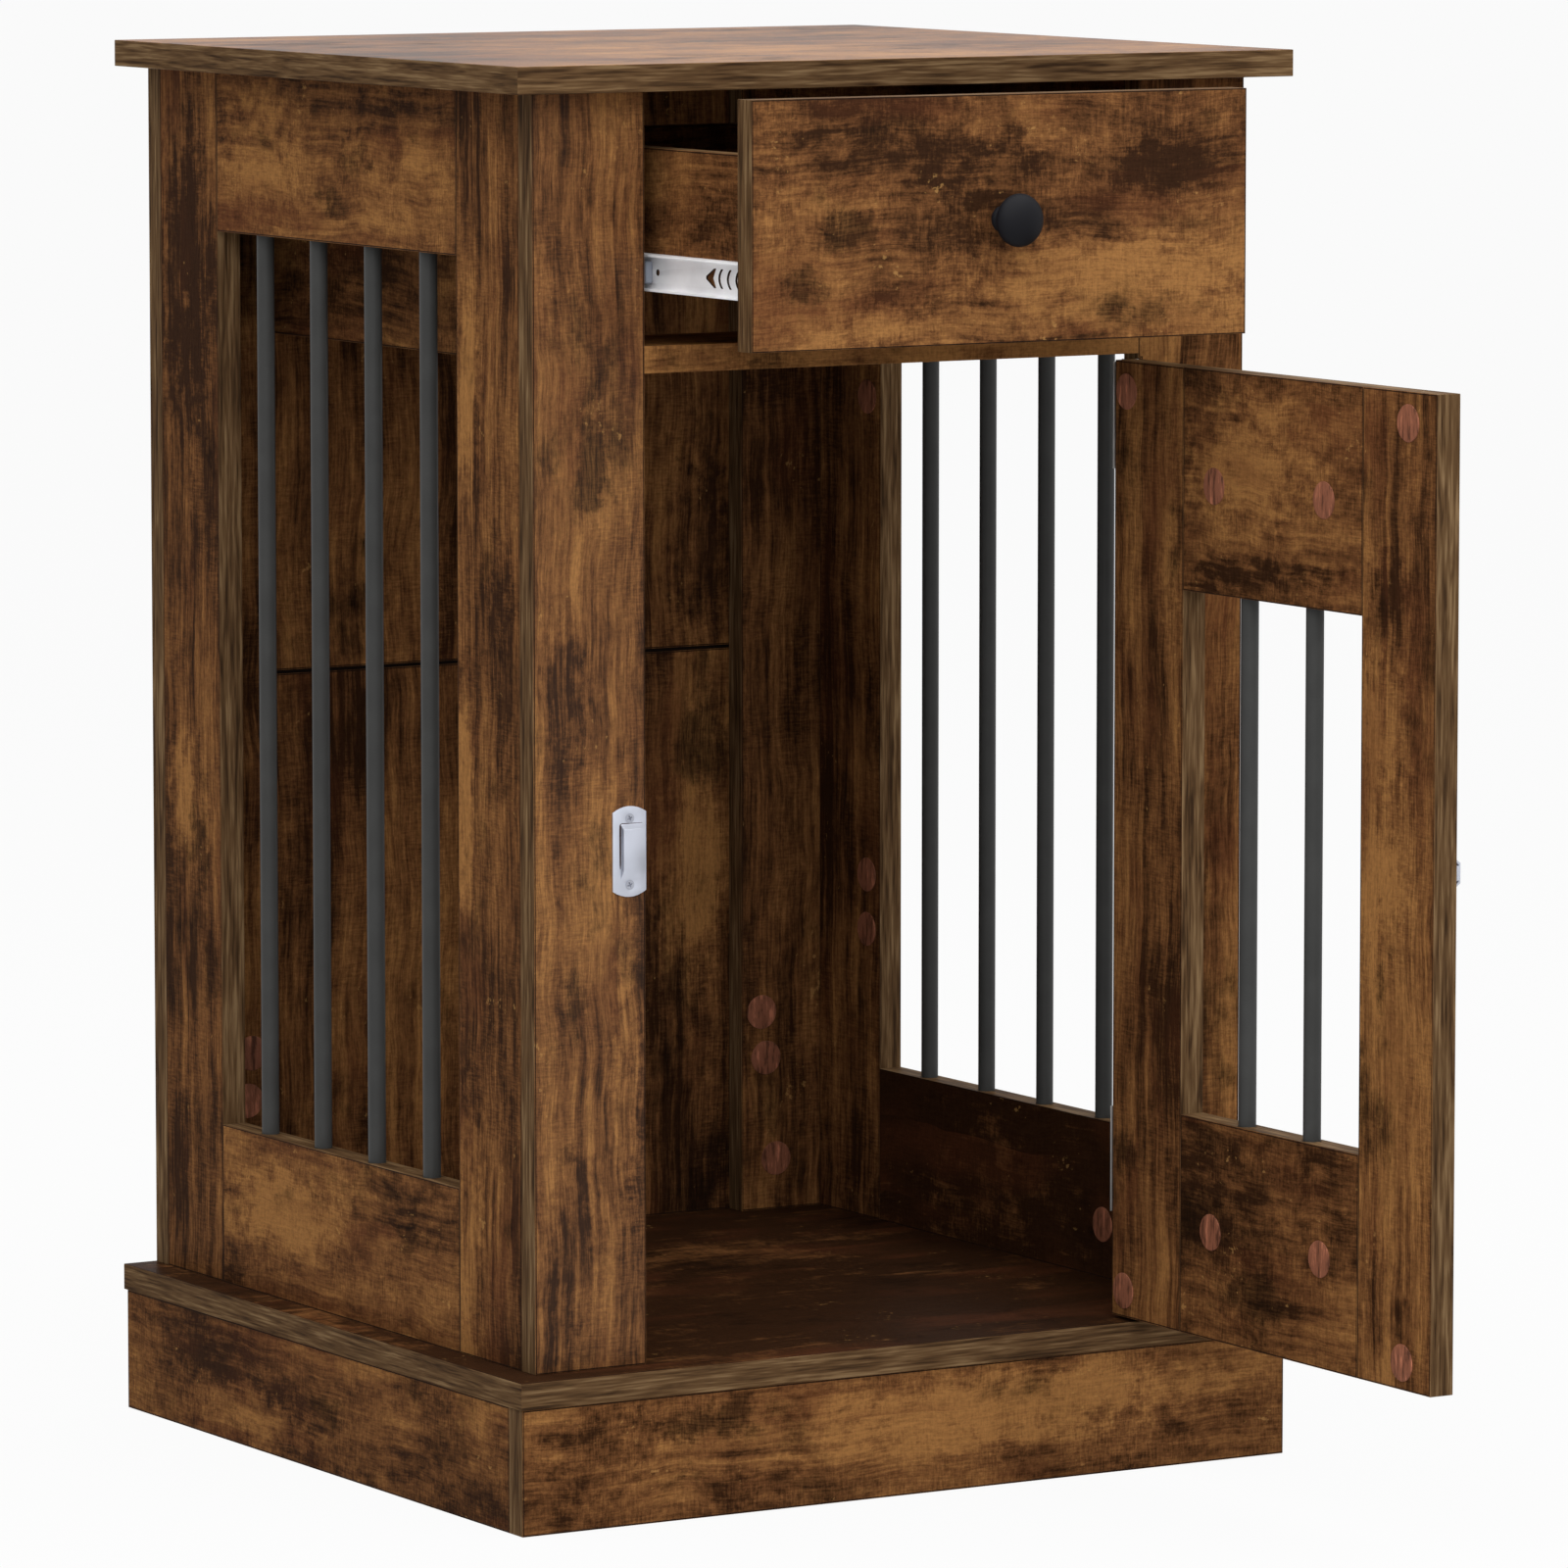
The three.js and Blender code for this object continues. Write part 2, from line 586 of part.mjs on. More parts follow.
function addSlide(side, hand) {
  const outer = channel(hand, 0, CABINET_MEMBER_DEPTH, CABINET_MEMBER_HEIGHT, SLIDE_STEEL);
  const fixed = runAlongY(outer, [slideStart, slideStart + SLIDE_LENGTH]);
  piece(cabinet, `slide_channel_${side}`, fixed, whiteZinc);

  const legEnd = SLIDE_SPACE - DRAWER_MEMBER_DEPTH;
  const inner = channel(hand, SLIDE_SPACE, legEnd, DRAWER_MEMBER_HEIGHT, SLIDE_STEEL);
  const member = runAlongY(inner, [postBack, postBack + SLIDE_LENGTH]);
  const webX = [slideX(hand, SLIDE_SPACE), slideX(hand, SLIDE_SPACE - 2 * SLIDE_STEEL)];
  const through = [Math.min(...webX) - FIT, Math.max(...webX) + FIT];
  const slots = Array.from({ length: ARC_SLOTS }, (_, i) =>
    bowedSlot(postBack + FIRST_ARC_SLOT + i * ARC_SLOT_PITCH - ARC_SLOT_SAG),
  );
  slots.push(arrowSlot(postBack + ARROW_SLOT_BASE - ARC_SLOT_SAG));
  const cutters = slots.map((outline) => runAlongX(outline, through));
  const holeY = postBack + SLIDE_HOLE;
  cutters.push(sideward(SLIDE_HOLE_DIAMETER, through, holeY, slideZ, HINGE_SIDES));
  piece(drawer, `slide_rail_${side}`, cut(member, cutters), whiteZinc);
  addBallCage(side, hand);
}

// The ball cage runs between the two members, at half the drawer's travel.
function addBallCage(side, hand) {
  const cage = new THREE.Group();
  cage.position.y = -DRAWER_OUT / 2;
  table.add(cage);
  const race = (CABINET_MEMBER_HEIGHT - DRAWER_MEMBER_HEIGHT) / 2 - SLIDE_STEEL;
  const legMiddle = (DRAWER_MEMBER_HEIGHT + race) / 2;
  const web = SLIDE_STEEL + CAGE_STANDOFF;
  const legEnd = CABINET_MEMBER_DEPTH - CAGE_STANDOFF;
  const outline = channel(hand, web, legEnd, 2 * legMiddle + CAGE_STEEL, CAGE_STEEL);
  const start = slideStart + SLIDE_TRAVEL / 2 + CAGE_END_GAP;
  const length = SLIDE_LENGTH - SLIDE_TRAVEL - 2 * CAGE_END_GAP;
  const shapes = [runAlongY(outline, [start, start + length])];
  const ballRadius = race / 2 - BALL_CLEARANCE;
  const legStart = SLIDE_SPACE - DRAWER_MEMBER_DEPTH;
  const ballDepth = (legStart + CABINET_MEMBER_DEPTH) / 2;
  for (let i = 0; i < BALLS_IN_A_ROW; i++) {
    const y = start + (length * (i + 0.5)) / BALLS_IN_A_ROW;
    for (const level of [-legMiddle, legMiddle]) {
      const ball = new THREE.SphereGeometry(ballRadius, BALL_SIDES, BALL_RINGS);
      shapes.push(ball.translate(slideX(hand, ballDepth), y, slideZ + level));
    }
  }
  piece(cage, `ball_cage_${side}`, join(shapes), cageSteel);
}

// ---- Door, drawn shut about its hinge pin and turned with its group ----
function addDoor() {
  const y = [0, BOARD];
  const z = [doorLow, doorHigh];
  const reliefs = [upperHingeLow, lowerHingeLow].map((low) => knuckleRelief(low, 0, 0));
  const hingeStile = block([doorHingeEdge - DOOR_STILE_WIDTH, doorHingeEdge], y, z);
  piece(door, "door_hinge_stile", cut(hingeStile, reliefs), boardFacing);
  const latchStile = block([doorFreeEdge, doorFreeEdge + DOOR_STILE_WIDTH], y, z);
  piece(door, "door_latch_stile", latchStile, boardFacing);

  const between = [doorFreeEdge + DOOR_STILE_WIDTH, doorHingeEdge - DOOR_STILE_WIDTH];
  const low = doorLow + DOOR_BOTTOM_RAIL;
  const high = doorHigh - DOOR_TOP_RAIL;
  const barXs = barPlaces(DOOR_BARS, (between[0] + between[1]) / 2);
  const topRail = block(between, y, [high, doorHigh]);
  const topSockets = barXs.map((x) => socket(x, BOARD / 2, high, 1));
  piece(door, "door_top_rail", cut(topRail, topSockets), boardFacing);
  const bottomRail = block(between, y, [doorLow, low]);
  const bottomSockets = barXs.map((x) => socket(x, BOARD / 2, low, -1));
  piece(door, "door_bottom_rail", cut(bottomRail, bottomSockets), boardFacing);
  barXs.forEach((x, i) => {
    const bar = upright(BAR_DIAMETER, x, BOARD / 2, barSpan(low, high), BAR_SIDES);
    piece(door, `door_bar_${i + 1}`, bar, blackBar);
  });
}

// One leaf of a butt hinge about a pin at x = 0, y = 0: hand 1 is screwed to the post
// and holds the odd knuckles, hand -1 is screwed to the door and holds the even ones.
function hingeLeaf(hand, low) {
  const gap = DOOR_SIDE_GAP / 2;
  const thick = onHand(hand, gap - HINGE_STEEL, gap);
  const clear = KNUCKLE_DIAMETER / 2 + FIT;
  const parts = [block(thick, [clear, HINGE_REACH], [low, low + HINGE_LENGTH])];
  const knuckle = (HINGE_LENGTH - (KNUCKLES - 1) * KNUCKLE_GAP) / KNUCKLES;
  for (let i = hand > 0 ? 0 : 1; i < KNUCKLES; i += 2) {
    const start = low + i * (knuckle + KNUCKLE_GAP);
    const z = [start, start + knuckle];
    parts.push(block(thick, [0, clear + FIT], z));
    parts.push(upright(KNUCKLE_DIAMETER, 0, 0, z, HINGE_SIDES));
  }
  const bore = HINGE_PIN_DIAMETER + 2 * HINGE_PIN_CLEARANCE;
  const tools = [upright(bore, 0, 0, [low - FIT, low + HINGE_LENGTH + FIT], HINGE_SIDES)];
  const holeY = (clear + HINGE_REACH) / 2;
  for (let i = 0; i < HINGE_HOLES; i++) {
    const z = low + (HINGE_LENGTH * (i + 0.5)) / HINGE_HOLES;
    const through = [thick[0] - FIT, thick[1] + FIT];
    tools.push(sideward(HINGE_HOLE_DIAMETER, through, holeY, z, HINGE_SIDES));
  }
  return cut(join(parts), tools);
}

function addHinge(place, low) {
  const frameLeaf = hingeLeaf(1, low).translate(hingeX, postFront, 0);
  piece(cabinet, `hinge_frame_leaf_${place}`, frameLeaf, satinSteel);
  const z = [low - HINGE_PIN_END, low + HINGE_LENGTH + HINGE_PIN_END];
  const pin = upright(HINGE_PIN_DIAMETER, hingeX, postFront, z, HINGE_SIDES);
  piece(cabinet, `hinge_pin_${place}`, pin, satinSteel);
  piece(door, `hinge_door_leaf_${place}`, hingeLeaf(-1, low), satinSteel);
}

// ---- Latch: keeper on the left post, bolt in its guide on the door ----
// A pressed bridge: a strap over a clear space, with a sloping leg at each end. Its section
// is drawn as (y, z) about the height z and the plate face y = 0, with the front at -y.
function bridge(x, z, span, lowerSlope, upperSlope) {
  const root = PLATE_STEEL / 2; // how far the legs are let into the plate
  const under = BRIDGE_RISE;
  const over = BRIDGE_RISE + PLATE_STEEL;
  const low = z - span / 2;
  const high = z + span / 2;
  const outline = [
    [root, low - lowerSlope - PLATE_STEEL],
    [0, low - lowerSlope - PLATE_STEEL],
    [-over, low - PLATE_STEEL],
    [-over, high + PLATE_STEEL],
    [0, high + upperSlope + PLATE_STEEL],
    [root, high + upperSlope + PLATE_STEEL],
    [root, high + upperSlope],
    [0, high + upperSlope],
    [-under, high],
    [-under, low],
    [0, low - lowerSlope],
    [root, low - lowerSlope],
  ];
  return runAlongX(outline, x);
}

function addKeeper() {
  const right = -openingX;
  const left = right - KEEPER_WIDTH;
  const middle = (left + right) / 2;
  const half = KEEPER_HEIGHT / 2;
  const shoulder = half - KEEPER_ARCH;
  const arch = (t) => shoulder + KEEPER_ARCH * (1 - t * t);
  const steps = fromMinusOneToOne(KEEPER_ARCH_STEPS);
  const upper = steps.map((t) => [middle + (t * KEEPER_WIDTH) / 2, LATCH_Z + arch(t)]);
  const lower = steps.map((t) => [middle + (t * KEEPER_WIDTH) / 2, LATCH_Z - arch(t)]);
  const face = postFront - PLATE_STEEL;
  const plate = runAlongY([...upper, ...lower.reverse()], [face, postFront]);
  const bridgeX = [
    right - KEEPER_BRIDGE_INSET - KEEPER_BRIDGE_WIDTH,
    right - KEEPER_BRIDGE_INSET,
  ];
  const hood = bridge(
    bridgeX,
    LATCH_Z + (KEEPER_BRIDGE_LONG_SLOPE - BRIDGE_SLOPE) / 2,
    KEEPER_BRIDGE_SPAN,
    KEEPER_BRIDGE_LONG_SLOPE,
    BRIDGE_SLOPE,
  ).translate(0, face, 0);
  const y = [face - FIT, postFront + FIT];
  const holes = [-1, 1].map((end) =>
    frontward(
      PLATE_HOLE_DIAMETER,
      middle,
      y,
      LATCH_Z + (end * KEEPER_HOLE_SPACING) / 2,
      HINGE_SIDES,
    ),
  );
  piece(cabinet, "latch_keeper", cut(join([plate, hood]), holes), satinSteel);
}

function addLatch() {
  const left = doorFreeEdge + LATCH_PLATE_INSET;
  const right = left + LATCH_PLATE_LENGTH;
  const face = -PLATE_STEEL;
  const half = LATCH_PLATE_HEIGHT / 2;
  const parts = [block([left, right], [face, 0], [LATCH_Z - half, LATCH_Z + half])];
  const span = BOLT_WIDTH + 2 * BOLT_SIDE_CLEARANCE;
  const nearBridge = [left + LATCH_BRIDGE_END, left + LATCH_BRIDGE_END + LATCH_BRIDGE_WIDTH];
  const farBridge = [right - LATCH_BRIDGE_END - LATCH_BRIDGE_WIDTH, right - LATCH_BRIDGE_END];
  for (const x of [nearBridge, farBridge]) {
    const strap = bridge(x, LATCH_Z, span, BRIDGE_SLOPE, BRIDGE_SLOPE);
    parts.push(strap.translate(0, face, 0));
  }
  const holeX = [nearBridge[1] + LATCH_HOLE_INSET, farBridge[0] - LATCH_HOLE_INSET];
  const holeZ = half - LATCH_HOLE_INSET;
  const holes = holeX.flatMap((x) =>
    [-holeZ, holeZ].map((z) =>
      frontward(PLATE_HOLE_DIAMETER, x, [face - FIT, FIT], LATCH_Z + z, HINGE_SIDES),
    ),
  );
  piece(door, "latch_guide", cut(join(parts), holes), satinSteel);

  // The bolt is drawn back, its tip level with the guide's end.
  const boltBack = face - BOLT_LIFT;
  const boltFront = boltBack - BOLT_THICKNESS;
  const bar = block(
    [left, left + BOLT_LENGTH],
    [boltFront, boltBack],
    [LATCH_Z - BOLT_WIDTH / 2, LATCH_Z + BOLT_WIDTH / 2],
  );
  const studX = nearBridge[1] + BOLT_SIDE_CLEARANCE + BOLT_TRAVEL + STUD_DIAMETER / 2;
  const studY = [boltFront - STUD_HEIGHT, boltFront + BOLT_THICKNESS / 2];
  const stud = frontward(STUD_DIAMETER, studX, studY, LATCH_Z, HINGE_SIDES);
  piece(bolt, "latch_bolt", join([bar, stud]), satinSteel);
}

addTopAndBase();
addPlinth();
addPosts();
for (const [side, hand] of HANDS) {
  addSideFrame(side, hand);
}
addDrawerSupports();
addBack();
addDrawerFront();
addDrawerBox();
addKnob();
for (const [side, hand] of HANDS) {
  addSlide(side, hand);
}
addDoor();
addHinge("upper", upperHingeLow);
addHinge("lower", lowerHingeLow);
addKeeper();
addLatch();

export default table;
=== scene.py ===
"""Dresses a dog crate end table: printed boards, coated bars, slides, hinges, latch and knob.

Metres, +Z up, +X to the right and +Y to the back, as seen by someone who faces the door.
"""

import json
import math

import bmesh
import bpy
from bpy.props import FloatProperty, FloatVectorProperty, IntProperty, PointerProperty
from mathutils import Matrix, Vector


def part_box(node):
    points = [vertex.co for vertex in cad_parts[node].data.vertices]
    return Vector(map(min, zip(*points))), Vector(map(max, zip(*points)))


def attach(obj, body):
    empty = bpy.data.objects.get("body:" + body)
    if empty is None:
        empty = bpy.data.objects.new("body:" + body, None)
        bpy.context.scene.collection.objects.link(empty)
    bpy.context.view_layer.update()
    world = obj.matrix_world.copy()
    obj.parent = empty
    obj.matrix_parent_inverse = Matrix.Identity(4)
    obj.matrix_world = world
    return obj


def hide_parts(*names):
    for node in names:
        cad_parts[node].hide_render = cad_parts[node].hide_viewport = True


bl_info = {
    "name": "Dog Crate End Table",
    "version": (1, 0, 0),
    "blender": (4, 5, 0),
    "location": "3D View > Sidebar > Crate Table",
    "description": "Builds the finished surfaces of a dog crate end table around its frame",
    "category": "Object",
}

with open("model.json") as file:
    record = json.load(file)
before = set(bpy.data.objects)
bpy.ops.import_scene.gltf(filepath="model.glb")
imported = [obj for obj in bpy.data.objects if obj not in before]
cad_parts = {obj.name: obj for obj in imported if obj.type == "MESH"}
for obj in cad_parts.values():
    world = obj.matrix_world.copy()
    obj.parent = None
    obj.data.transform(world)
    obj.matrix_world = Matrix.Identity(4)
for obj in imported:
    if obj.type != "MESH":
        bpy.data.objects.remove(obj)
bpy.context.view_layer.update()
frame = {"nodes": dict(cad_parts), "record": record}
BODY_OF = {
    node: body
    for body, nodes in frame["record"]["behaviour"]["bodies"].items()
    for node in nodes
}
AXES = "XYZ"
SIDES = ("left", "right")


def srgb(red, green, blue):
    """A screen colour from 0 to 255 as the linear colour that shaders use."""
    return tuple(
        (c / 255 / 12.92) if c <= 10 else ((c / 255 + 0.055) / 1.055) ** 2.4
        for c in (red, green, blue)
    )


def length(name, description, default):
    return FloatProperty(
        name=name, description=description, default=default, min=0, unit="LENGTH", precision=5
    )


def colour(name, description, default):
    return FloatVectorProperty(
        name=name, description=description, default=default, size=3, min=0, max=1, subtype="COLOR"
    )


def share(name, description, default):
    return FloatProperty(
        name=name, description=description, default=default, min=0, max=1, subtype="FACTOR"
    )


# ---- Sizes and colours that a user would change ----


class CratePrint(bpy.types.PropertyGroup):
    """The rustic wood print on the boards."""

    golden: colour("Golden", "Lightest patches of the print", srgb(154, 108, 62))
    brown: colour("Brown", "Middle tone of the print", srgb(110, 72, 42))
    dark: colour("Dark", "Dark patches of the print", srgb(52, 32, 19))
    burnt: colour("Burnt", "Smudges and flecks", srgb(26, 17, 11))
    red: colour("Red", "Reddish tint in the darker planks", srgb(92, 52, 32))
    fleck: colour("Fleck", "Small pale flecks", srgb(188, 142, 84))
    plank: length("Plank width", "Mean width of the planks drawn in the print", 0.055)
    fibre: length("Fibre pitch", "Width of the fine lines along the grain", 0.0013)


class CrateEdges(bpy.types.PropertyGroup):
    """Edge banding and the boards' arrises."""

    pale: colour("Pale band", "Lightest streaks of the edge band", srgb(134, 108, 77))
    brown: colour("Brown band", "Middle tone of the edge band", srgb(95, 71, 47))
    dark: colour("Dark band", "Darkest streaks of the edge band", srgb(56, 40, 27))
    seam: colour("Seam", "Line between the face and the edge band", srgb(46, 32, 24))
    arris: length("Arris", "Width of the small bevel on a board's edges", 0.0004)
    seam_width: length("Seam width", "Width of the line beside the edge band", 0.0006)


class CrateHardware(bpy.types.PropertyGroup):
    """Metal and plastic parts."""

    bar: colour("Bar", "Powder coat on the bars", srgb(67, 67, 66))
    knob: colour("Knob", "Knob", srgb(19, 19, 23))
    zinc: colour("Zinc", "White zinc on the slides", srgb(250, 250, 252))
    nickel: colour("Nickel", "Satin nickel on the latch", srgb(200, 204, 216))
    plastic: colour("Stop plastic", "Grey moulded stop on a slide", srgb(150, 156, 168))
    cap: colour("Cap", "Cover cap over a screw", srgb(140, 88, 66))
    cap_diameter: length("Cap diameter", "Diameter of a cover cap", 0.0205)
    cap_thickness: length("Cap thickness", "How far a cover cap stands proud", 0.0006)
    bar_sides: IntProperty(
        name="Bar sides", description="Steps round a bar", default=48, min=12, max=128
    )
    knob_sides: IntProperty(
        name="Knob sides", description="Steps round the knob", default=72, min=24, max=256
    )


class CrateStage(bpy.types.PropertyGroup):
    """Camera, floor and light."""

    camera: FloatVectorProperty(
        name="Camera",
        description="Where the camera stands",
        default=(-2.797, -4.5435, 0.9999),
        size=3,
        subtype="TRANSLATION",
    )
    turn: FloatProperty(
        name="Turn",
        description="Camera's direction, turned from +Y towards +X",
        default=math.radians(30.893),
        subtype="ANGLE",
    )
    tilt: FloatProperty(
        name="Tilt",
        description="Camera's direction below the horizon",
        default=math.radians(6.434),
        subtype="ANGLE",
    )
    lens: FloatProperty(
        name="Lens", description="Focal length in millimetres", default=222.44, min=1
    )
    floor: colour("Floor", "Plain pale floor", (0.55, 0.55, 0.55))
    floor_size: length("Floor size", "Length of the floor's sides", 120.0)
    shadow: share("Shadow", "How strongly the object's shadow shows on the floor", 0.06)
    ambient: FloatProperty(
        name="Ambient", description="Light from all around", default=0.35, min=0
    )


def settings():
    """The scene, which carries the property groups above."""
    return bpy.context.scene


# ---- Shader tools ----


def node(tree, kind, inputs=None, **values):
    """A new node with its settings made and its inputs joined or set."""
    made = tree.nodes.new("ShaderNode" + kind)
    for name, value in values.items():
        setattr(made, name, value)
    for name, value in (inputs or {}).items():
        if isinstance(value, bpy.types.NodeSocket):
            tree.links.new(value, made.inputs[name])
        elif made.inputs[name].type == "RGBA" and len(value) == 3:
            made.inputs[name].default_value = (*value, 1)
        else:
            made.inputs[name].default_value = value
    return made


def maths(tree, operation, a, b=0.0, c=0.0):
    return node(tree, "Math", {0: a, 1: b, 2: c}, operation=operation).outputs[0]


def noise(tree, vector, scale, detail=3.0, roughness=0.55, distortion=0.0):
    inputs = {
        "Vector": vector,
        "Scale": scale,
        "Detail": detail,
        "Roughness": roughness,
        "Distortion": distortion,
    }
    return node(tree, "TexNoise", inputs).outputs[0]


def stretch(tree, vector, scales):
    return node(tree, "VectorMath", {0: vector, 1: scales}, operation="MULTIPLY").outputs[0]


def shift(tree, vector, offset):
    return node(tree, "VectorMath", {0: vector, 1: offset}, operation="ADD").outputs[0]


def remap(tree, value, low, high, to_low=0.0, to_high=1.0):
    inputs = {
        "Value": value,
        "From Min": low,
        "From Max": high,
        "To Min": to_low,
        "To Max": to_high,
    }
    made = node(tree, "MapRange", inputs, interpolation_type="SMOOTHSTEP", clamp=True)
    return made.outputs[0]


def mix(tree, factor, first, second, blend="MIX"):
    made = node(tree, "Mix", data_type="RGBA", blend_type=blend, clamp_factor=True)
    colours = [socket for socket in made.inputs if socket.type == "RGBA"]
    for socket, value in zip((made.inputs[0], *colours), (factor, first, second)):
        if isinstance(value, bpy.types.NodeSocket):
            tree.links.new(value, socket)
        else:
            socket.default_value = value if socket.type == "VALUE" else (*value, 1)
    return next(socket for socket in made.outputs if socket.type == "RGBA")


def new_group(name, inputs, outputs):
    """An empty shader node group with named sockets, as (tree, input sockets, output node)."""
    tree = bpy.data.node_groups.new(name, "ShaderNodeTree")
    kinds = {"value": "NodeSocketFloat", "vector": "NodeSocketVector", "colour": "NodeSocketColor"}
    for direction, sockets in (("INPUT", inputs), ("OUTPUT", outputs)):
        for socket, kind in sockets.items():
            tree.interface.new_socket(socket, in_out=direction, socket_type=kinds[kind])
    taken = tree.nodes.new("NodeGroupInput")
    given = tree.nodes.new("NodeGroupOutput")
    return tree, taken.outputs, given


def use_group(tree, name, inputs):
    """The outputs of a shared effect, placed in a material with its own inputs."""
    return node(tree, "Group", inputs, node_tree=bpy.data.node_groups[name]).outputs


# ---- Shared effects ----

# Inputs of the prints that take the setting of the same name.
PRINT_COLOURS = ("Golden", "Brown", "Dark", "Burnt", "Red", "Fleck")
BAND_COLOURS = ("Pale", "Brown", "Dark")


def tints(finish, names):
    """The colours of a finish, by the names of a group's inputs."""
    return {name: getattr(finish, name.lower()) for name in names}


def make_print_group():
    """Rustic wood print: X runs along the grain, Y across it and Z into the board."""
    finish = settings().crate_print
    tree, given, out = new_group(
        "Rustic print",
        {
            "Vector": "vector",
            **dict.fromkeys(PRINT_COLOURS, "colour"),
            "Tone": "value",
            "Burn": "value",
            "Streak": "value",
        },
        {"Color": "colour", "Height": "value", "Roughness": "value"},
    )
    sway = noise(tree, stretch(tree, given["Vector"], (11.0, 5.0, 5.0)), 1.0, 2.0, 0.5)
    sway = maths(tree, "MULTIPLY_ADD", sway, 0.016, -0.008)
    flat = shift(tree, given["Vector"], node(tree, "CombineXYZ", {"Y": sway}).outputs[0])

    def layer(vector, along, across, detail, roughness):
        """Noise whose features are 1/along by 1/across metres."""
        return noise(tree, stretch(tree, vector, (along, across, across)), 1.0, detail, roughness)

    # Planks of uneven width, each with its own stretch of grain.
    strip = maths(tree, "DIVIDE", node(tree, "SeparateXYZ", {0: flat}).outputs["Y"], finish.plank)
    planks = node(
        tree, "TexVoronoi", {"W": strip, "Scale": 1.0}, voronoi_dimensions="1D", feature="F1"
    ).outputs["Color"]
    place = shift(tree, flat, stretch(tree, planks, (3.0, 3.0, 3.0)))
    lines = 1.0 / finish.fibre
    fibre = layer(place, lines * 0.08, lines, 3.0, 0.7)
    saw = layer(flat, lines, lines * 0.14, 3.0, 0.7)
    grain = layer(place, 6.0, 230.0, 3.0, 0.6)
    mottle = layer(flat, 45.0, 70.0, 7.0, 0.78)
    cloud = layer(flat, 6.0, 9.0, 2.0, 0.5)
    worn = remap(tree, layer(flat, 14.0, 24.0, 2.0, 0.5), 0.38, 0.62)

    def by_streak(even, streaky):
        """A weight that goes from its value on an even print to that on a streaky one."""
        return maths(tree, "MULTIPLY_ADD", given["Streak"], streaky - even, even)

    # Tone, from dark through brown to golden, with a red blush in places.
    tone = given["Tone"]
    for source, weight in (
        (layer(flat, 5.0, 8.0, 2.0, 0.5), 1.3),
        (layer(flat, 14.0, 26.0, 7.0, 0.7), by_streak(1.75, 1.0)),
        (mottle, by_streak(1.6, 0.9)),
        (layer(place, 5.0, 60.0, 6.0, 0.68), by_streak(0.0, 2.3)),
        (layer(place, 11.0, 420.0, 3.0, 0.65), by_streak(0.0, 0.7)),
        (grain, maths(tree, "MULTIPLY", worn, 1.3)),
        (fibre, 0.4),
        (saw, remap(tree, worn, 0.0, 1.0, 0.7, 0.15)),
        (node(tree, "SeparateColor", {0: planks}).outputs["Red"], 0.15),
    ):
        centred = maths(tree, "SUBTRACT", source, 0.5)
        tone = maths(tree, "MULTIPLY_ADD", centred, weight, tone)
    base = mix(tree, remap(tree, tone, -0.45, 0.12), given["Dark"], given["Brown"])
    base = mix(tree, remap(tree, tone, -0.05, 0.62), base, given["Golden"])
    blush = layer(place, 9.0, 22.0, 2.0, 0.5)
    base = mix(tree, remap(tree, blush, 0.5, 0.75, 0.0, 0.5), base, given["Red"])

    # Fine lines along the grain and saw marks across it, then the burnt smudges.
    lengthwise = maths(tree, "MULTIPLY", fibre, by_streak(0.5, 0.85))
    hatch = maths(tree, "MULTIPLY_ADD", saw, by_streak(0.5, 0.15), lengthwise)
    speck = layer(flat, 330.0, 480.0, 4.0, 0.8)
    weave = maths(tree, "MULTIPLY_ADD", hatch, 0.55, maths(tree, "MULTIPLY", speck, 0.45))
    base = mix(tree, 1.0, base, remap(tree, weave, 0.3, 0.7, 0.66, 1.34), "MULTIPLY")
    smudge = maths(tree, "MULTIPLY_ADD", cloud, 0.7, layer(flat, 22.0, 32.0, 7.0, 0.68))
    smudge = maths(tree, "MULTIPLY_ADD", given["Burn"], 0.19, smudge)
    burn = remap(tree, smudge, 0.9, 1.12)
    burn = maths(tree, "MULTIPLY", burn, remap(tree, hatch, 0.3, 0.6, 1.0, 0.65))
    shade = mix(tree, maths(tree, "MULTIPLY", burn, 0.92), base, given["Burnt"])

    # Small pale flecks, in clusters.
    grit = layer(flat, 200.0, 260.0, 3.0, 0.6)
    cluster = layer(flat, 24.0, 30.0, 2.0, 0.5)
    pale = remap(tree, maths(tree, "MULTIPLY_ADD", cluster, 0.7, grit), 1.08, 1.2)
    shade = mix(tree, maths(tree, "MULTIPLY", pale, 0.5), shade, given["Fleck"])
    tree.links.new(shade, out.inputs["Color"])
    rough = maths(tree, "MULTIPLY_ADD", mottle, 0.12, 0.36)
    tree.links.new(maths(tree, "MULTIPLY_ADD", burn, 0.08, rough), out.inputs["Roughness"])
    tree.links.new(maths(tree, "MULTIPLY_ADD", saw, 0.35, fibre), out.inputs["Height"])


def make_band_group():
    """Edge band print: X runs along the edge."""
    tree, given, out = new_group(
        "Edge band",
        {"Vector": "vector", **dict.fromkeys(BAND_COLOURS, "colour")},
        {"Color": "colour", "Height": "value"},
    )
    wavy = noise(tree, stretch(tree, given["Vector"], (16.0, 190.0, 190.0)), 1.0, 3.0, 0.6, 0.6)
    streak = noise(tree, stretch(tree, given["Vector"], (30.0, 620.0, 620.0)), 1.0, 2.0, 0.6)
    tone = maths(tree, "MULTIPLY_ADD", streak, 0.6, maths(tree, "MULTIPLY", wavy, 0.6))
    base = mix(tree, remap(tree, tone, 0.42, 0.62), given["Dark"], given["Brown"])
    base = mix(tree, remap(tree, tone, 0.58, 0.8), base, given["Pale"])
    tree.links.new(base, out.inputs["Color"])
    tree.links.new(streak, out.inputs["Height"])


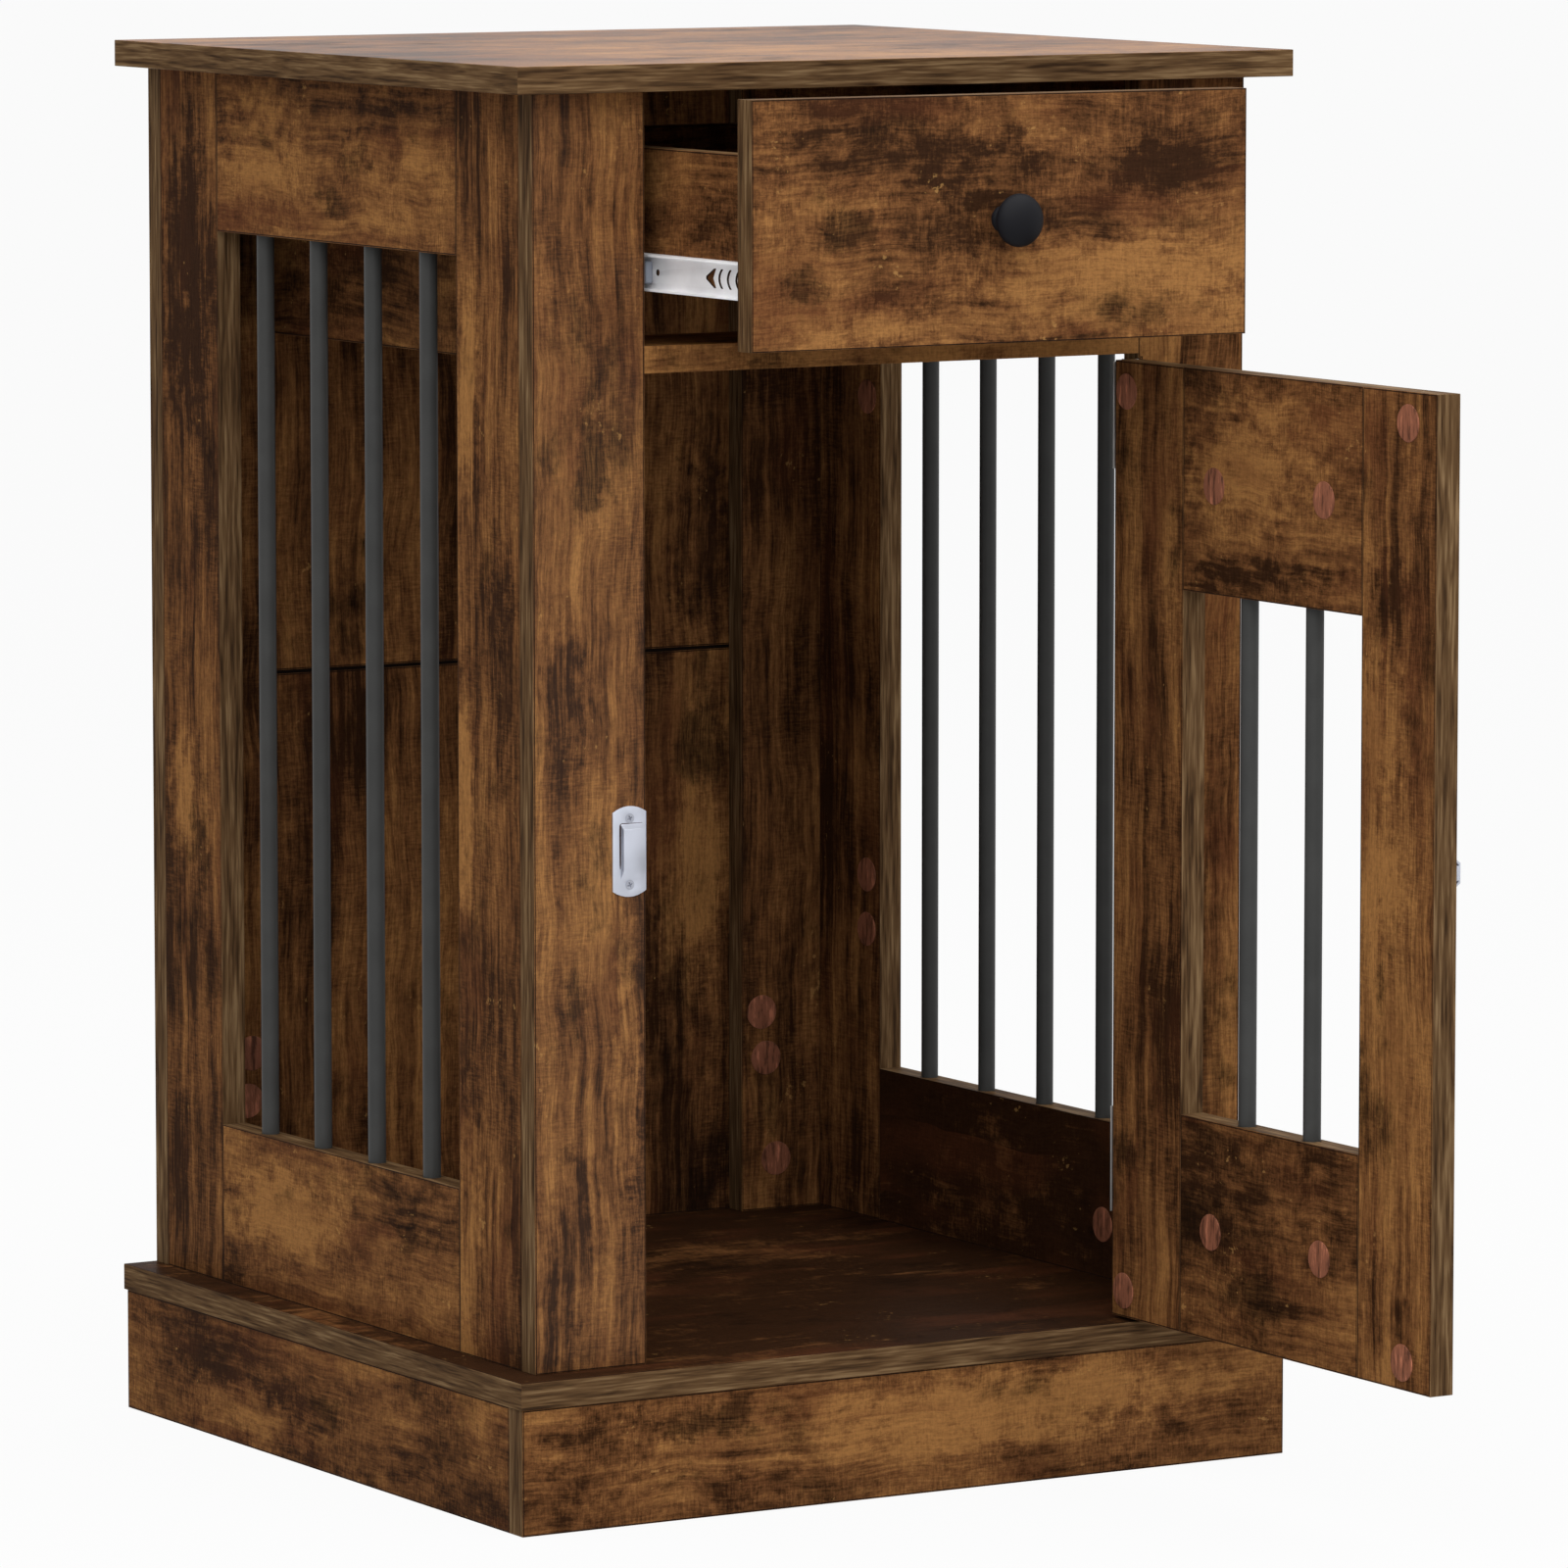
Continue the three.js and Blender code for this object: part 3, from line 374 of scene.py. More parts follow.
def make_spot_group():
    """Soft, ragged mask about a centre, with its own radii, in object space."""
    tree, given, out = new_group(
        "Spot", {"Vector": "vector", "Centre": "vector", "Radii": "vector"}, {"Mask": "value"}
    )
    offset = node(
        tree, "VectorMath", {0: given["Vector"], 1: given["Centre"]}, operation="SUBTRACT"
    ).outputs[0]
    scaled = node(tree, "VectorMath", {0: offset, 1: given["Radii"]}, operation="DIVIDE").outputs[0]
    distance = node(tree, "VectorMath", {0: scaled}, operation="LENGTH").outputs["Value"]
    torn = noise(tree, given["Vector"], 95.0, 6.0, 0.72)
    ragged = maths(tree, "MULTIPLY_ADD", torn, 3.2, maths(tree, "SUBTRACT", distance, 1.6))
    tree.links.new(remap(tree, ragged, 1.4, 0.2), out.inputs["Mask"])


def make_coat_group():
    """Fine texture of coated and plated metal, with faint handling marks."""
    tree, given, out = new_group(
        "Coated surface",
        {"Vector": "vector", "Grit": "value", "Smear": "value"},
        {"Height": "value", "Roughness": "value", "Tint": "value"},
    )
    grit = noise(tree, given["Vector"], given["Grit"], 2.0, 0.5)
    smear = noise(tree, given["Vector"], given["Smear"], 4.0, 0.5)
    tree.links.new(grit, out.inputs["Height"])
    tree.links.new(remap(tree, smear, 0.3, 0.7, -0.05, 0.07), out.inputs["Roughness"])
    tree.links.new(remap(tree, smear, 0.3, 0.75, 0.9, 1.06), out.inputs["Tint"])


# ---- Materials ----


def new_material(name, **values):
    """A material with its Principled shader, and that shader's own values set."""
    material = bpy.data.materials.new(name)
    material.use_nodes = True
    shader = material.node_tree.nodes["Principled BSDF"]
    for socket, value in values.items():
        shader.inputs[socket.replace("_", " ").title().replace("Ior", "IOR")].default_value = value
    return material, material.node_tree, shader


def object_place(tree):
    return node(tree, "TexCoord").outputs["Object"]


def grain_place(tree, along, into, seed=0.0):
    """Object coordinates turned so that X runs along the grain and Z into the board."""
    parts = node(tree, "SeparateXYZ", {0: object_place(tree)}).outputs
    across = next(a for a in AXES if a not in (along, into))
    turned = node(
        tree, "CombineXYZ", {"X": parts[along], "Y": parts[across], "Z": parts[into]}
    ).outputs[0]
    return shift(tree, turned, (seed * 1.37, seed * 0.73, seed * 2.11))


def bump(tree, shader, height, distance):
    made = node(tree, "Bump", {"Height": height, "Distance": distance})
    tree.links.new(made.outputs[0], shader.inputs["Normal"])


def most(tree, masks):
    """The largest of several masks, or 0 where there are none."""
    whole = 0.0
    for mask in masks:
        whole = mask if whole == 0.0 else maths(tree, "MAXIMUM", whole, mask)
    return whole


def through_board(board, into, numbers):
    """Centre and radii of a mark that goes right through, from its place on the face."""
    depth = AXES.index(into)
    centre, radii = list(numbers[:2]), list(numbers[2:])
    centre.insert(depth, middle(board)[depth])
    radii.insert(depth, 1.0)
    return centre, radii


PRINT_GLOSS = 0.006  # of a board with no gloss of its own
GOLD_TONE, DARK_TONE = 0.5, -0.36  # how far a mark moves the tone of the print
UPRIGHT_STREAK, LEVEL_STREAK = 1.0, 0.15  # how streaky the print is, by the way the grain runs


def board_print(board, along, into, look):
    """The print on one board's faces, with the board's own tone, which on a few boards is painted
    light or shade, and its marks.
    """
    gloss = look.get("gloss", PRINT_GLOSS)
    material, tree, shader = new_material("Print " + board, specular_ior_level=gloss)
    here = object_place(tree)
    marks = {"burn": [], "gold": [], "dark": []}
    for kind, *numbers in look.get("marks", ()):
        centre, radii = through_board(board, into, numbers)
        spot = use_group(tree, "Spot", {"Vector": here, "Centre": centre, "Radii": radii})
        marks[kind].append(spot["Mask"])
    gold = most(tree, marks["gold"])
    dark = most(tree, marks["dark"])
    tone = maths(tree, "MULTIPLY_ADD", gold, GOLD_TONE, look.get("tone", 0.0))
    tone = maths(tree, "MULTIPLY_ADD", dark, DARK_TONE, tone)
    outputs = use_group(
        tree,
        "Rustic print",
        {
            "Vector": grain_place(tree, along, into, look["seed"]),
            **tints(settings().crate_print, PRINT_COLOURS),
            "Tone": tone,
            "Burn": most(tree, marks["burn"]),
            "Streak": UPRIGHT_STREAK if along == "Z" else LEVEL_STREAK,
        },
    )
    tree.links.new(outputs["Color"], shader.inputs["Base Color"])
    tree.links.new(outputs["Roughness"], shader.inputs["Roughness"])
    bump(tree, shader, outputs["Height"], 0.00012)
    return material


def edge_band(along):
    """Edge band whose streaks run along one axis."""
    name = "Edge band " + along
    material, tree, shader = new_material(name, roughness=0.5, specular_ior_level=0.01)
    into = next(a for a in AXES if a != along)
    colours = tints(settings().crate_edges, BAND_COLOURS)
    inputs = {"Vector": grain_place(tree, along, into), **colours}
    outputs = use_group(tree, "Edge band", inputs)
    tree.links.new(outputs["Color"], shader.inputs["Base Color"])
    bump(tree, shader, outputs["Height"], 0.0001)
    return material


def seam_line():
    finish = settings().crate_edges
    material, tree, shader = new_material("Band seam", roughness=0.6, specular_ior_level=0.02)
    speck = noise(tree, object_place(tree), 900.0, 3.0)
    darker = tuple(0.55 * c for c in finish.seam)
    shade = mix(tree, remap(tree, speck, 0.35, 0.65), finish.seam, darker)
    tree.links.new(shade, shader.inputs["Base Color"])
    return material


def coated(name, tint, roughness, grit, relief, **values):
    """Coated, plated or moulded surface with a fine texture and faint handling marks."""
    material, tree, shader = new_material(name, **values)
    inputs = {"Vector": object_place(tree), "Grit": grit, "Smear": 45.0}
    outputs = use_group(tree, "Coated surface", inputs)
    shade = mix(tree, 1.0, tint, outputs["Tint"], "MULTIPLY")
    tree.links.new(shade, shader.inputs["Base Color"])
    rough = maths(tree, "ADD", outputs["Roughness"], roughness)
    tree.links.new(rough, shader.inputs["Roughness"])
    bump(tree, shader, outputs["Height"], relief)
    return material


def cap_print():
    """Wood-print foil on a cover cap, with light streaks."""
    finish = settings().crate_hardware
    material, tree, shader = new_material("Cover cap", roughness=0.5, specular_ior_level=0.1)
    streaks = noise(tree, stretch(tree, object_place(tree), (300.0, 300.0, 50.0)), 1.0, 4.0, 0.65)
    pale = tuple(min(1.0, 2.1 * c) for c in finish.cap)
    deep = tuple(0.35 * c for c in finish.cap)
    shade = mix(tree, remap(tree, streaks, 0.36, 0.5), deep, finish.cap)
    shade = mix(tree, remap(tree, streaks, 0.54, 0.68), shade, pale)
    tree.links.new(shade, shader.inputs["Base Color"])
    bump(tree, shader, streaks, 0.0001)
    return material


# ---- Mesh tools ----


def new_mesh(name, bm):
    mesh = bpy.data.meshes.new(name)
    bm.normal_update()
    bm.to_mesh(mesh)
    bm.free()
    return mesh


def new_object(name, data):
    """An object that is linked to the scene."""
    made = bpy.data.objects.new(name, data)
    bpy.context.scene.collection.objects.link(made)
    return made


def new_piece(name, mesh, materials, body, stands_for=()):
    """A finished piece that rides on a body and may stand for nodes of the frame."""
    piece = new_object(name, mesh)
    for material in materials:
        mesh.materials.append(material)
    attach(piece, body)
    if stands_for:
        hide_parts(*stands_for)
    return piece


def smooth_piece(name, bm, material, body, stands_for=(), below=35):
    """A smooth piece of one material, kept sharp where faces meet at more than some degrees."""
    mesh = new_mesh(name, bm)
    mesh.shade_smooth()
    mesh.set_sharp_from_angle(angle=math.radians(below))
    return new_piece(name, mesh, [material], body, stands_for)


def clean_copy(node_name):
    """A node's mesh with its flat faces made whole again."""
    bm = bmesh.new()
    bm.from_mesh(frame["nodes"][node_name].data)
    bmesh.ops.remove_doubles(bm, verts=bm.verts, dist=1e-6)
    bmesh.ops.dissolve_limit(bm, angle_limit=math.radians(1), verts=bm.verts, edges=bm.edges)
    return bm


def soften(bm, width, segments=2, above=40):
    """Small bevel on every edge sharper than an angle in degrees."""
    sharp = [e for e in bm.edges if len(e.link_faces) == 2]
    sharp = [e for e in sharp if e.calc_face_angle() > math.radians(above)]
    bmesh.ops.bevel(
        bm, geom=sharp, offset=width, segments=segments, profile=0.5, affect="EDGES",
        clamp_overlap=True,
    )


# A board's materials are its face, an edge band along each axis, and the seam.
FACE, SEAM = 0, 1 + len(AXES)


def board_mesh(node_name, into):
    """A board with a fine arris, and a seam line round its two wide faces."""
    finish = settings().crate_edges
    square_on = 0.999
    bm = clean_copy(node_name)
    soften(bm, finish.arris)
    bm.normal_update()
    depth = AXES.index(into)
    for face in bm.faces:
        normal = [abs(n) for n in face.normal]
        facing = normal.index(max(normal))
        face.material_index = FACE if facing == depth else band_index(facing, depth)
    for side in (-1, 1):
        wide = [f for f in bm.faces if side * f.normal[depth] > square_on]
        made = bmesh.ops.inset_region(
            bm, faces=wide, thickness=finish.seam_width, use_even_offset=True
        )
        for face in made["faces"]:
            face.material_index = SEAM
    return new_mesh(node_name + "_board", bm)


def band_index(facing, depth):
    """Material of an edge face: its streaks run along the axis that is left."""
    along = next(i for i in range(len(AXES)) if i not in (facing, depth))
    return FACE + 1 + along


def set_in_place(bm, direction, place):
    """Turns what was made along +Z towards a direction, and moves it to its place."""
    turn = Vector((0, 0, 1)).rotation_difference(Vector(direction)).to_matrix().to_4x4()
    bmesh.ops.transform(bm, matrix=Matrix.Translation(place) @ turn, verts=bm.verts)


def lathe(profile, steps, direction=(0, 0, 1), place=(0, 0, 0)):
    """A closed solid turned from (radius, height) points about a direction."""
    bm = bmesh.new()
    verts = [bm.verts.new((r, 0, h)) for r, h in profile]
    edges = [bm.edges.new(pair) for pair in zip(verts, verts[1:])]
    bmesh.ops.spin(
        bm, geom=verts + edges, cent=(0, 0, 0), axis=(0, 0, 1), angle=math.tau, steps=steps
    )
    bmesh.ops.remove_doubles(bm, verts=bm.verts, dist=1e-7)
    bmesh.ops.recalc_face_normals(bm, faces=bm.faces)
    set_in_place(bm, direction, place)
    return bm


def joined(parts):
    """Several meshes in the making as one."""
    whole = bmesh.new()
    for part in parts:
        held = bpy.data.meshes.new("held")
        part.to_mesh(held)
        part.free()
        whole.from_mesh(held)
        bpy.data.meshes.remove(held)
    return whole


def middle(node_name):
    low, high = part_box(node_name)
    return (low + high) / 2


# ---- Boards ----

# Each board's grain axis and the axis across its thickness.
CABINET_BOARDS = {
    "top_board": "XZ",
    "base_board": "XZ",
    "plinth_front": "XY",
    "plinth_back": "XY",
    "drawer_rail": "XZ",
    **{f"plinth_{side}": "YX" for side in SIDES},
    **{f"{end}_post_{side}": "ZY" for side in SIDES for end in ("front", "back")},
    **{f"{side}_{end}_stile": "ZX" for side in SIDES for end in ("front", "back")},
    **{f"{side}_{end}_rail": "YX" for side in SIDES for end in ("top", "bottom")},
    **{f"slide_panel_{side}": "YX" for side in SIDES},
}
DRAWER_BOARDS = {
    "drawer_front": "XY",
    "drawer_back": "XY",
    **{f"drawer_side_{side}": "YX" for side in SIDES},
}
DOOR_BOARDS = {
    "door_hinge_stile": "ZX",
    "door_latch_stile": "ZX",
    "door_top_rail": "YX",
    "door_bottom_rail": "YX",
}
THIN_SHEETS = {"back_sheet_upper": "ZY", "back_sheet_lower": "ZY", "drawer_bottom": "XZ"}

# What sets one board's print apart, and on a few boards, noted below, painted light or shade. A
# mark is burn, gold or dark, then its place on the face and its two radii, along the board's own
# two face axes in the order X, Y, Z.
LOOKS = {
    "drawer_front": {
        "gloss": 0.03,
        "marks": (
            ("dark", -0.073, 0.756, 0.085, 0.03),
            ("dark", 0.102, 0.741, 0.045, 0.014),
            ("burn", 0.131, 0.765, 0.012, 0.010),
            ("burn", -0.092, 0.708, 0.025, 0.015),
            ("burn", -0.048, 0.705, 0.012, 0.014),
            ("burn", -0.126, 0.683, 0.017, 0.012),
            ("gold", 0.063, 0.680, 0.1, 0.028),
            ("gold", -0.039, 0.660, 0.1, 0.014),
        ),
    },
    "front_post_left": {
        "gloss": 0.12,
        "marks": (
            ("burn", -0.194, 0.580, 0.009, 0.032),
            ("burn", -0.203, 0.289, 0.009, 0.032),
            ("burn", -0.212, 0.204, 0.009, 0.016),
            ("dark", -0.212, 0.461, 0.014, 0.043),
            ("dark", -0.205, 0.150, 0.018, 0.050),
            ("gold", -0.172, 0.244, 0.009, 0.080),
        ),
    },
    "left_top_rail": {
        "tone": 0.06,
        "marks": (
            ("gold", 0.327, 0.742, 0.054, 0.034),
            ("gold", 0.140, 0.750, 0.023, 0.016),
            ("dark", 0.165, 0.760, 0.05, 0.025),
            ("burn", 0.225, 0.716, 0.030, 0.013),
            ("burn", 0.213, 0.739, 0.020, 0.017),
            ("burn", 0.347, 0.779, 0.027, 0.007),
            ("burn", 0.146, 0.761, 0.016, 0.011),
        ),
    },
    "left_bottom_rail": {
        "tone": 0.05,
        "marks": (("gold", 0.303, 0.136, 0.07, 0.025), ("burn", 0.151, 0.138, 0.028, 0.010)),
    },
    "left_back_stile": {
        "tone": -0.16,
        "marks": (
            ("dark", 0.418, 0.682, 0.037, 0.1),
            ("gold", 0.418, 0.653, 0.005, 0.007),
            ("gold", 0.427, 0.368, 0.015, 0.034),
            ("burn", 0.400, 0.415, 0.011, 0.023),
            ("burn", 0.405, 0.339, 0.012, 0.028),
        ),
    },
    "left_front_stile": {
        "tone": -0.02,
        "marks": (
            ("gold", 0.088, 0.152, 0.018, 0.081),
            ("gold", 0.084, 0.617, 0.016, 0.049),
            ("gold", 0.088, 0.390, 0.011, 0.059),
            ("burn", 0.042, 0.249, 0.009, 0.011),
            ("burn", 0.042, 0.157, 0.009, 0.012),
            ("dark", 0.048, 0.512, 0.015, 0.032),
        ),
    },
    "door_latch_stile": {
        "tone": 0.2,
        "marks": (
            ("gold", -0.259, 0.455, 0.024, 0.048),
            ("gold", -0.257, 0.362, 0.024, 0.026),
            ("burn", -0.268, 0.332, 0.013, 0.012),
            ("burn", -0.255, 0.303, 0.007, 0.013),
            ("dark", -0.261, 0.519, 0.024, 0.021),
            ("dark", -0.259, 0.132, 0.028, 0.032),
        ),
    },
    "door_top_rail": {
        "tone": 0.04,
        "marks": (
            ("gold", -0.124, 0.578, 0.058, 0.032),
            ("dark", -0.143, 0.515, 0.086, 0.015),
            ("burn", -0.196, 0.522, 0.021, 0.009),
        ),
    },
    "door_bottom_rail": {
        "tone": -0.1,
        "marks": (("burn", -0.089, 0.159, 0.029, 0.016), ("burn", -0.138, 0.115, 0.058, 0.016)),
    },
    "door_hinge_stile": {
        "tone": 0.03,
        "marks": (("burn", -0.008, 0.180, 0.016, 0.013), ("gold", -0.045, 0.524, 0.008, 0.038)),
    },
    "plinth_left": {
        "tone": -0.05,
        "marks": (
            ("burn", 0.355, 0.051, 0.036, 0.007),
            ("burn", 0.218, 0.037, 0.029, 0.011),
            ("gold", 0.301, 0.018, 0.083, 0.017),
        ),
    },
    "plinth_front": {
        "tone": 0.05,
        "marks": (
            ("burn", -0.146, 0.054, 0.019, 0.013),
            ("burn", -0.112, 0.053, 0.014, 0.016),
            ("burn", -0.153, 0.020, 0.019, 0.011),
            ("dark", -0.196, 0.045, 0.037, 0.027),
            ("gold", 0.069, 0.042, 0.131, 0.02),
        ),
    },
    "back_sheet_upper": {
        "tone": 0.06,
        "marks": (("burn", 0.145, 0.550, 0.018, 0.042), ("dark", 0.143, 0.485, 0.028, 0.053)),
    },
    "back_sheet_lower": {
        "tone": -0.08,
        "marks": (
            ("gold", 0.130, 0.284, 0.021, 0.071),
            ("burn", 0.133, 0.367, 0.021, 0.030),
            ("burn", -0.076, 0.379, 0.020, 0.035),
        ),
    },
    "top_board": {"gloss": 0.15, "tone": 0.1},
    # Painted light: the drawer rail lies in the open drawer's shadow, so its print is lightened,
    # and its front edge takes that same print in place of the edge band.
    "drawer_rail": {"tone": 0.45, "printed_edge": True},
    "base_board": {"tone": -0.5},
    # Painted shade: the right bottom rail and the right back post, deep in the crate, are darkened
    # for the shade that falls there.
    "right_bottom_rail": {"tone": -0.5},
    "back_post_right": {"tone": -0.2},
    "right_back_stile": {"tone": -0.05},
}


def shared(name, make):
    """A material that is made once and used by many pieces."""
    return bpy.data.materials.get(name) or make()


def dress_boards(boards):
    bands = [shared("Edge band " + axis, lambda axis=axis: edge_band(axis)) for axis in AXES]
    seam = shared("Band seam", seam_line)
    for i, (name, (along, into)) in enumerate(boards.items()):
        look = {"seed": i + 1, **LOOKS.get(name, {})}
        face = board_print(name, along, into, look)
        edges = [face] * len(AXES) if look.get("printed_edge") else bands
        mesh = board_mesh(name, into)
        new_piece(name + "_board", mesh, [face, *edges, seam], BODY_OF[name], [name])


class CRATE_OT_cabinet_boards(bpy.types.Operator):
    """Faces and edges the boards of the cabinet."""

    bl_idname = "crate.cabinet_boards"
    bl_label = "Cabinet boards"

    def execute(self, context):
        dress_boards(CABINET_BOARDS)
        return {"FINISHED"}


class CRATE_OT_drawer_boards(bpy.types.Operator):
    """Faces and edges the boards of the drawer."""

    bl_idname = "crate.drawer_boards"
    bl_label = "Drawer boards"

    def execute(self, context):
        dress_boards(DRAWER_BOARDS)
        return {"FINISHED"}


class CRATE_OT_door_boards(bpy.types.Operator):
    """Faces and edges the stiles and rails of the door."""

    bl_idname = "crate.door_boards"
    bl_label = "Door boards"

    def execute(self, context):
        dress_boards(DOOR_BOARDS)
        return {"FINISHED"}


class CRATE_OT_sheets(bpy.types.Operator):
    """Faces the thin sheets of the back and the drawer's bottom."""

    bl_idname = "crate.sheets"
    bl_label = "Thin sheets"

    def execute(self, context):
        dress_boards(THIN_SHEETS)
        return {"FINISHED"}


# ---- Bars, knob and caps ----


def bar_profile(radius, height):
    """A bar with a small chamfer at each end."""
    edge = radius * 0.12
    return [
        (0, 0),
        (radius - edge, 0),
        (radius, edge),
        (radius, height - edge),
        (radius - edge, height),
        (0, height),
    ]


class CRATE_OT_bars(bpy.types.Operator):
    """Turns the round bars of the side frames and the door."""

    bl_idname = "crate.bars"
    bl_label = "Bars"

    def execute(self, context):
        finish = settings().crate_hardware
        coat = coated("Black powder coat", finish.bar, 0.4, 2600.0, 0.00003, specular_ior_level=0.1)
        for name in sorted(n for n in frame["nodes"] if "_bar_" in n):
            low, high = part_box(name)
            foot = ((low.x + high.x) / 2, (low.y + high.y) / 2, low.z)
            profile = bar_profile((high.x - low.x) / 2, high.z - low.z)
            turned = lathe(profile, finish.bar_sides, place=foot)
            smooth_piece(name + "_turned", turned, coat, BODY_OF[name], [name])
        return {"FINISHED"}


def bulge(radius, widest, rise, degrees):
    """Points of an oval about the height at which it is widest."""
    angles = [math.radians(d) for d in degrees]
    return [(radius * math.cos(a), widest + rise * math.sin(a)) for a in angles]


def knob_profile(low, high):
    """Foot, neck and domed head of the knob, as (radius, distance from the drawer front)."""
    head = (high.x - low.x) / 2
    reach = high.y - low.y
    foot, neck, back = head * 0.5, head * 0.37, reach * 0.47
    under_height = 0.0052  # of the head, below its widest place
    edge, ease = 0.0012, 0.0008  # straight edge of the foot, and the rounding above it
    neck_from, neck_to, corner = 0.0045, back - 0.0012, 0.0005
    rim = back + under_height
    start = [(0, 0), (foot, 0), (foot, edge), (foot - ease, edge + ease)]
    throat = [
        (neck + ease / 2, edge + 2 * ease),
        (neck, neck_from),
        (neck, neck_to),
        (neck + corner, back - 0.4 * corner),
    ]
    under = bulge(head, rim, rim - back, range(-66, 0, 11))
    crown = bulge(head, rim, reach - rim, range(0, 90, 6))
    return [*start, *throat, *under, *crown, (0, reach)]


class CRATE_OT_knob(bpy.types.Operator):
    """Turns the drawer knob."""

    bl_idname = "crate.knob"
    bl_label = "Knob"

    def execute(self, context):
        finish = settings().crate_hardware
        low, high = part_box("drawer_knob")
        centre = middle("drawer_knob")
        turned = lathe(
            knob_profile(low, high),
            finish.knob_sides,
            direction=(0, -1, 0),
            place=(centre.x, high.y, centre.z),
        )
        paint = coated("Knob paint", finish.knob, 0.6, 3200.0, 0.00002, specular_ior_level=0.12)
        smooth_piece(
            "drawer_knob_turned", turned, paint, "drawer", ["drawer_knob"], below=50
        )
        return {"FINISHED"}


# Where the cover caps sit. On the door's stiles: their heights, and how far in from the hinge
# edge and from the free edge. On its rails: their heights, and how far from the hinge edge.
STILE_CAP_HEIGHTS, FROM_HINGE, FROM_FREE = (0.611, 0.102), 0.012, 0.027
RAIL_CAP_HEIGHTS, ALONG_RAIL = (0.564, 0.1475), (0.101, 0.209)
# In the crate: Y and height on each side frame, then distance from the middle and height on
# each back post.
FRAME_CAPS = ((0.3935, 0.581), (0.3935, 0.293), (0.3935, 0.260), (0.1305, 0.116))
POST_CAPS = ((0.174, 0.206), (0.177, 0.178), (0.184, 0.116))


def cap(place, direction):
    """A thin round cap with a rounded rim and a slight dome."""
    finish = settings().crate_hardware
    radius, high = finish.cap_diameter / 2, finish.cap_thickness
    sunk, sides = 0.0002, 40
    profile = [
        (0, -sunk),
        (radius, -sunk),
        (radius, high * 0.4),
        (radius - high * 0.3, high * 0.85),
        (radius - high, high),
        (radius * 0.5, high * 1.1),
        (0, high * 1.12),
    ]
    return lathe(profile, sides, direction, place)


class CRATE_OT_caps(bpy.types.Operator):
    """Sets the round cover caps over the screws."""

    bl_idname = "crate.caps"
    bl_label = "Cover caps"

    def execute(self, context):
        foil = cap_print()
        smooth_piece("door_caps", joined(self.on_door()), foil, "door")
        smooth_piece("cabinet_caps", joined(self.in_crate()), foil, "cabinet")
        return {"FINISHED"}

    def on_door(self):
        """Caps on the door's inner face."""
        low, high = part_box("door_hinge_stile")
        free_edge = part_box("door_latch_stile")[0].y
        stiles = (high.y - FROM_HINGE, free_edge + FROM_FREE)
        places = [(y, z) for y in stiles for z in STILE_CAP_HEIGHTS]
        places += [(high.y - y, z) for y in ALONG_RAIL for z in RAIL_CAP_HEIGHTS]
        return [cap((low.x, y, z), (-1, 0, 0)) for y, z in places]

    def in_crate(self):
        """Caps on the side frames and the back posts, seen from inside the crate."""
        caps = []
        for hand, side in ((-1, "left"), (1, "right")):
            low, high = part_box(f"{side}_back_stile")
            inner = low.x if hand > 0 else high.x
            caps += [cap((inner, y, z), (-hand, 0, 0)) for y, z in FRAME_CAPS]
            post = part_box(f"back_post_{side}")[0].y
            caps += [cap((hand * x, post, z), (0, -1, 0)) for x, z in POST_CAPS]
        return caps


# ---- Slides, hinges and latch ----


def refine(name, material, width):
    """A metal part with its sharp edges eased."""
    bm = clean_copy(name)
    soften(bm, width)
    return smooth_piece(name + "_eased", bm, material, BODY_OF[name], [name])


HALF_SLOT = 0.0056  # the slots' walls lie within this of the drawer member's middle height
STOP_SIZE = (0.0047, 0.0095, 0.0124)  # of the grey stop, along X, Y and Z
STOP_ROUND = 0.0012
STOP_GAP = 0.0015  # between the stop and the drawer member's web
STOP_BEHIND = 0.11025  # from the drawer member's front end to the stop's middle


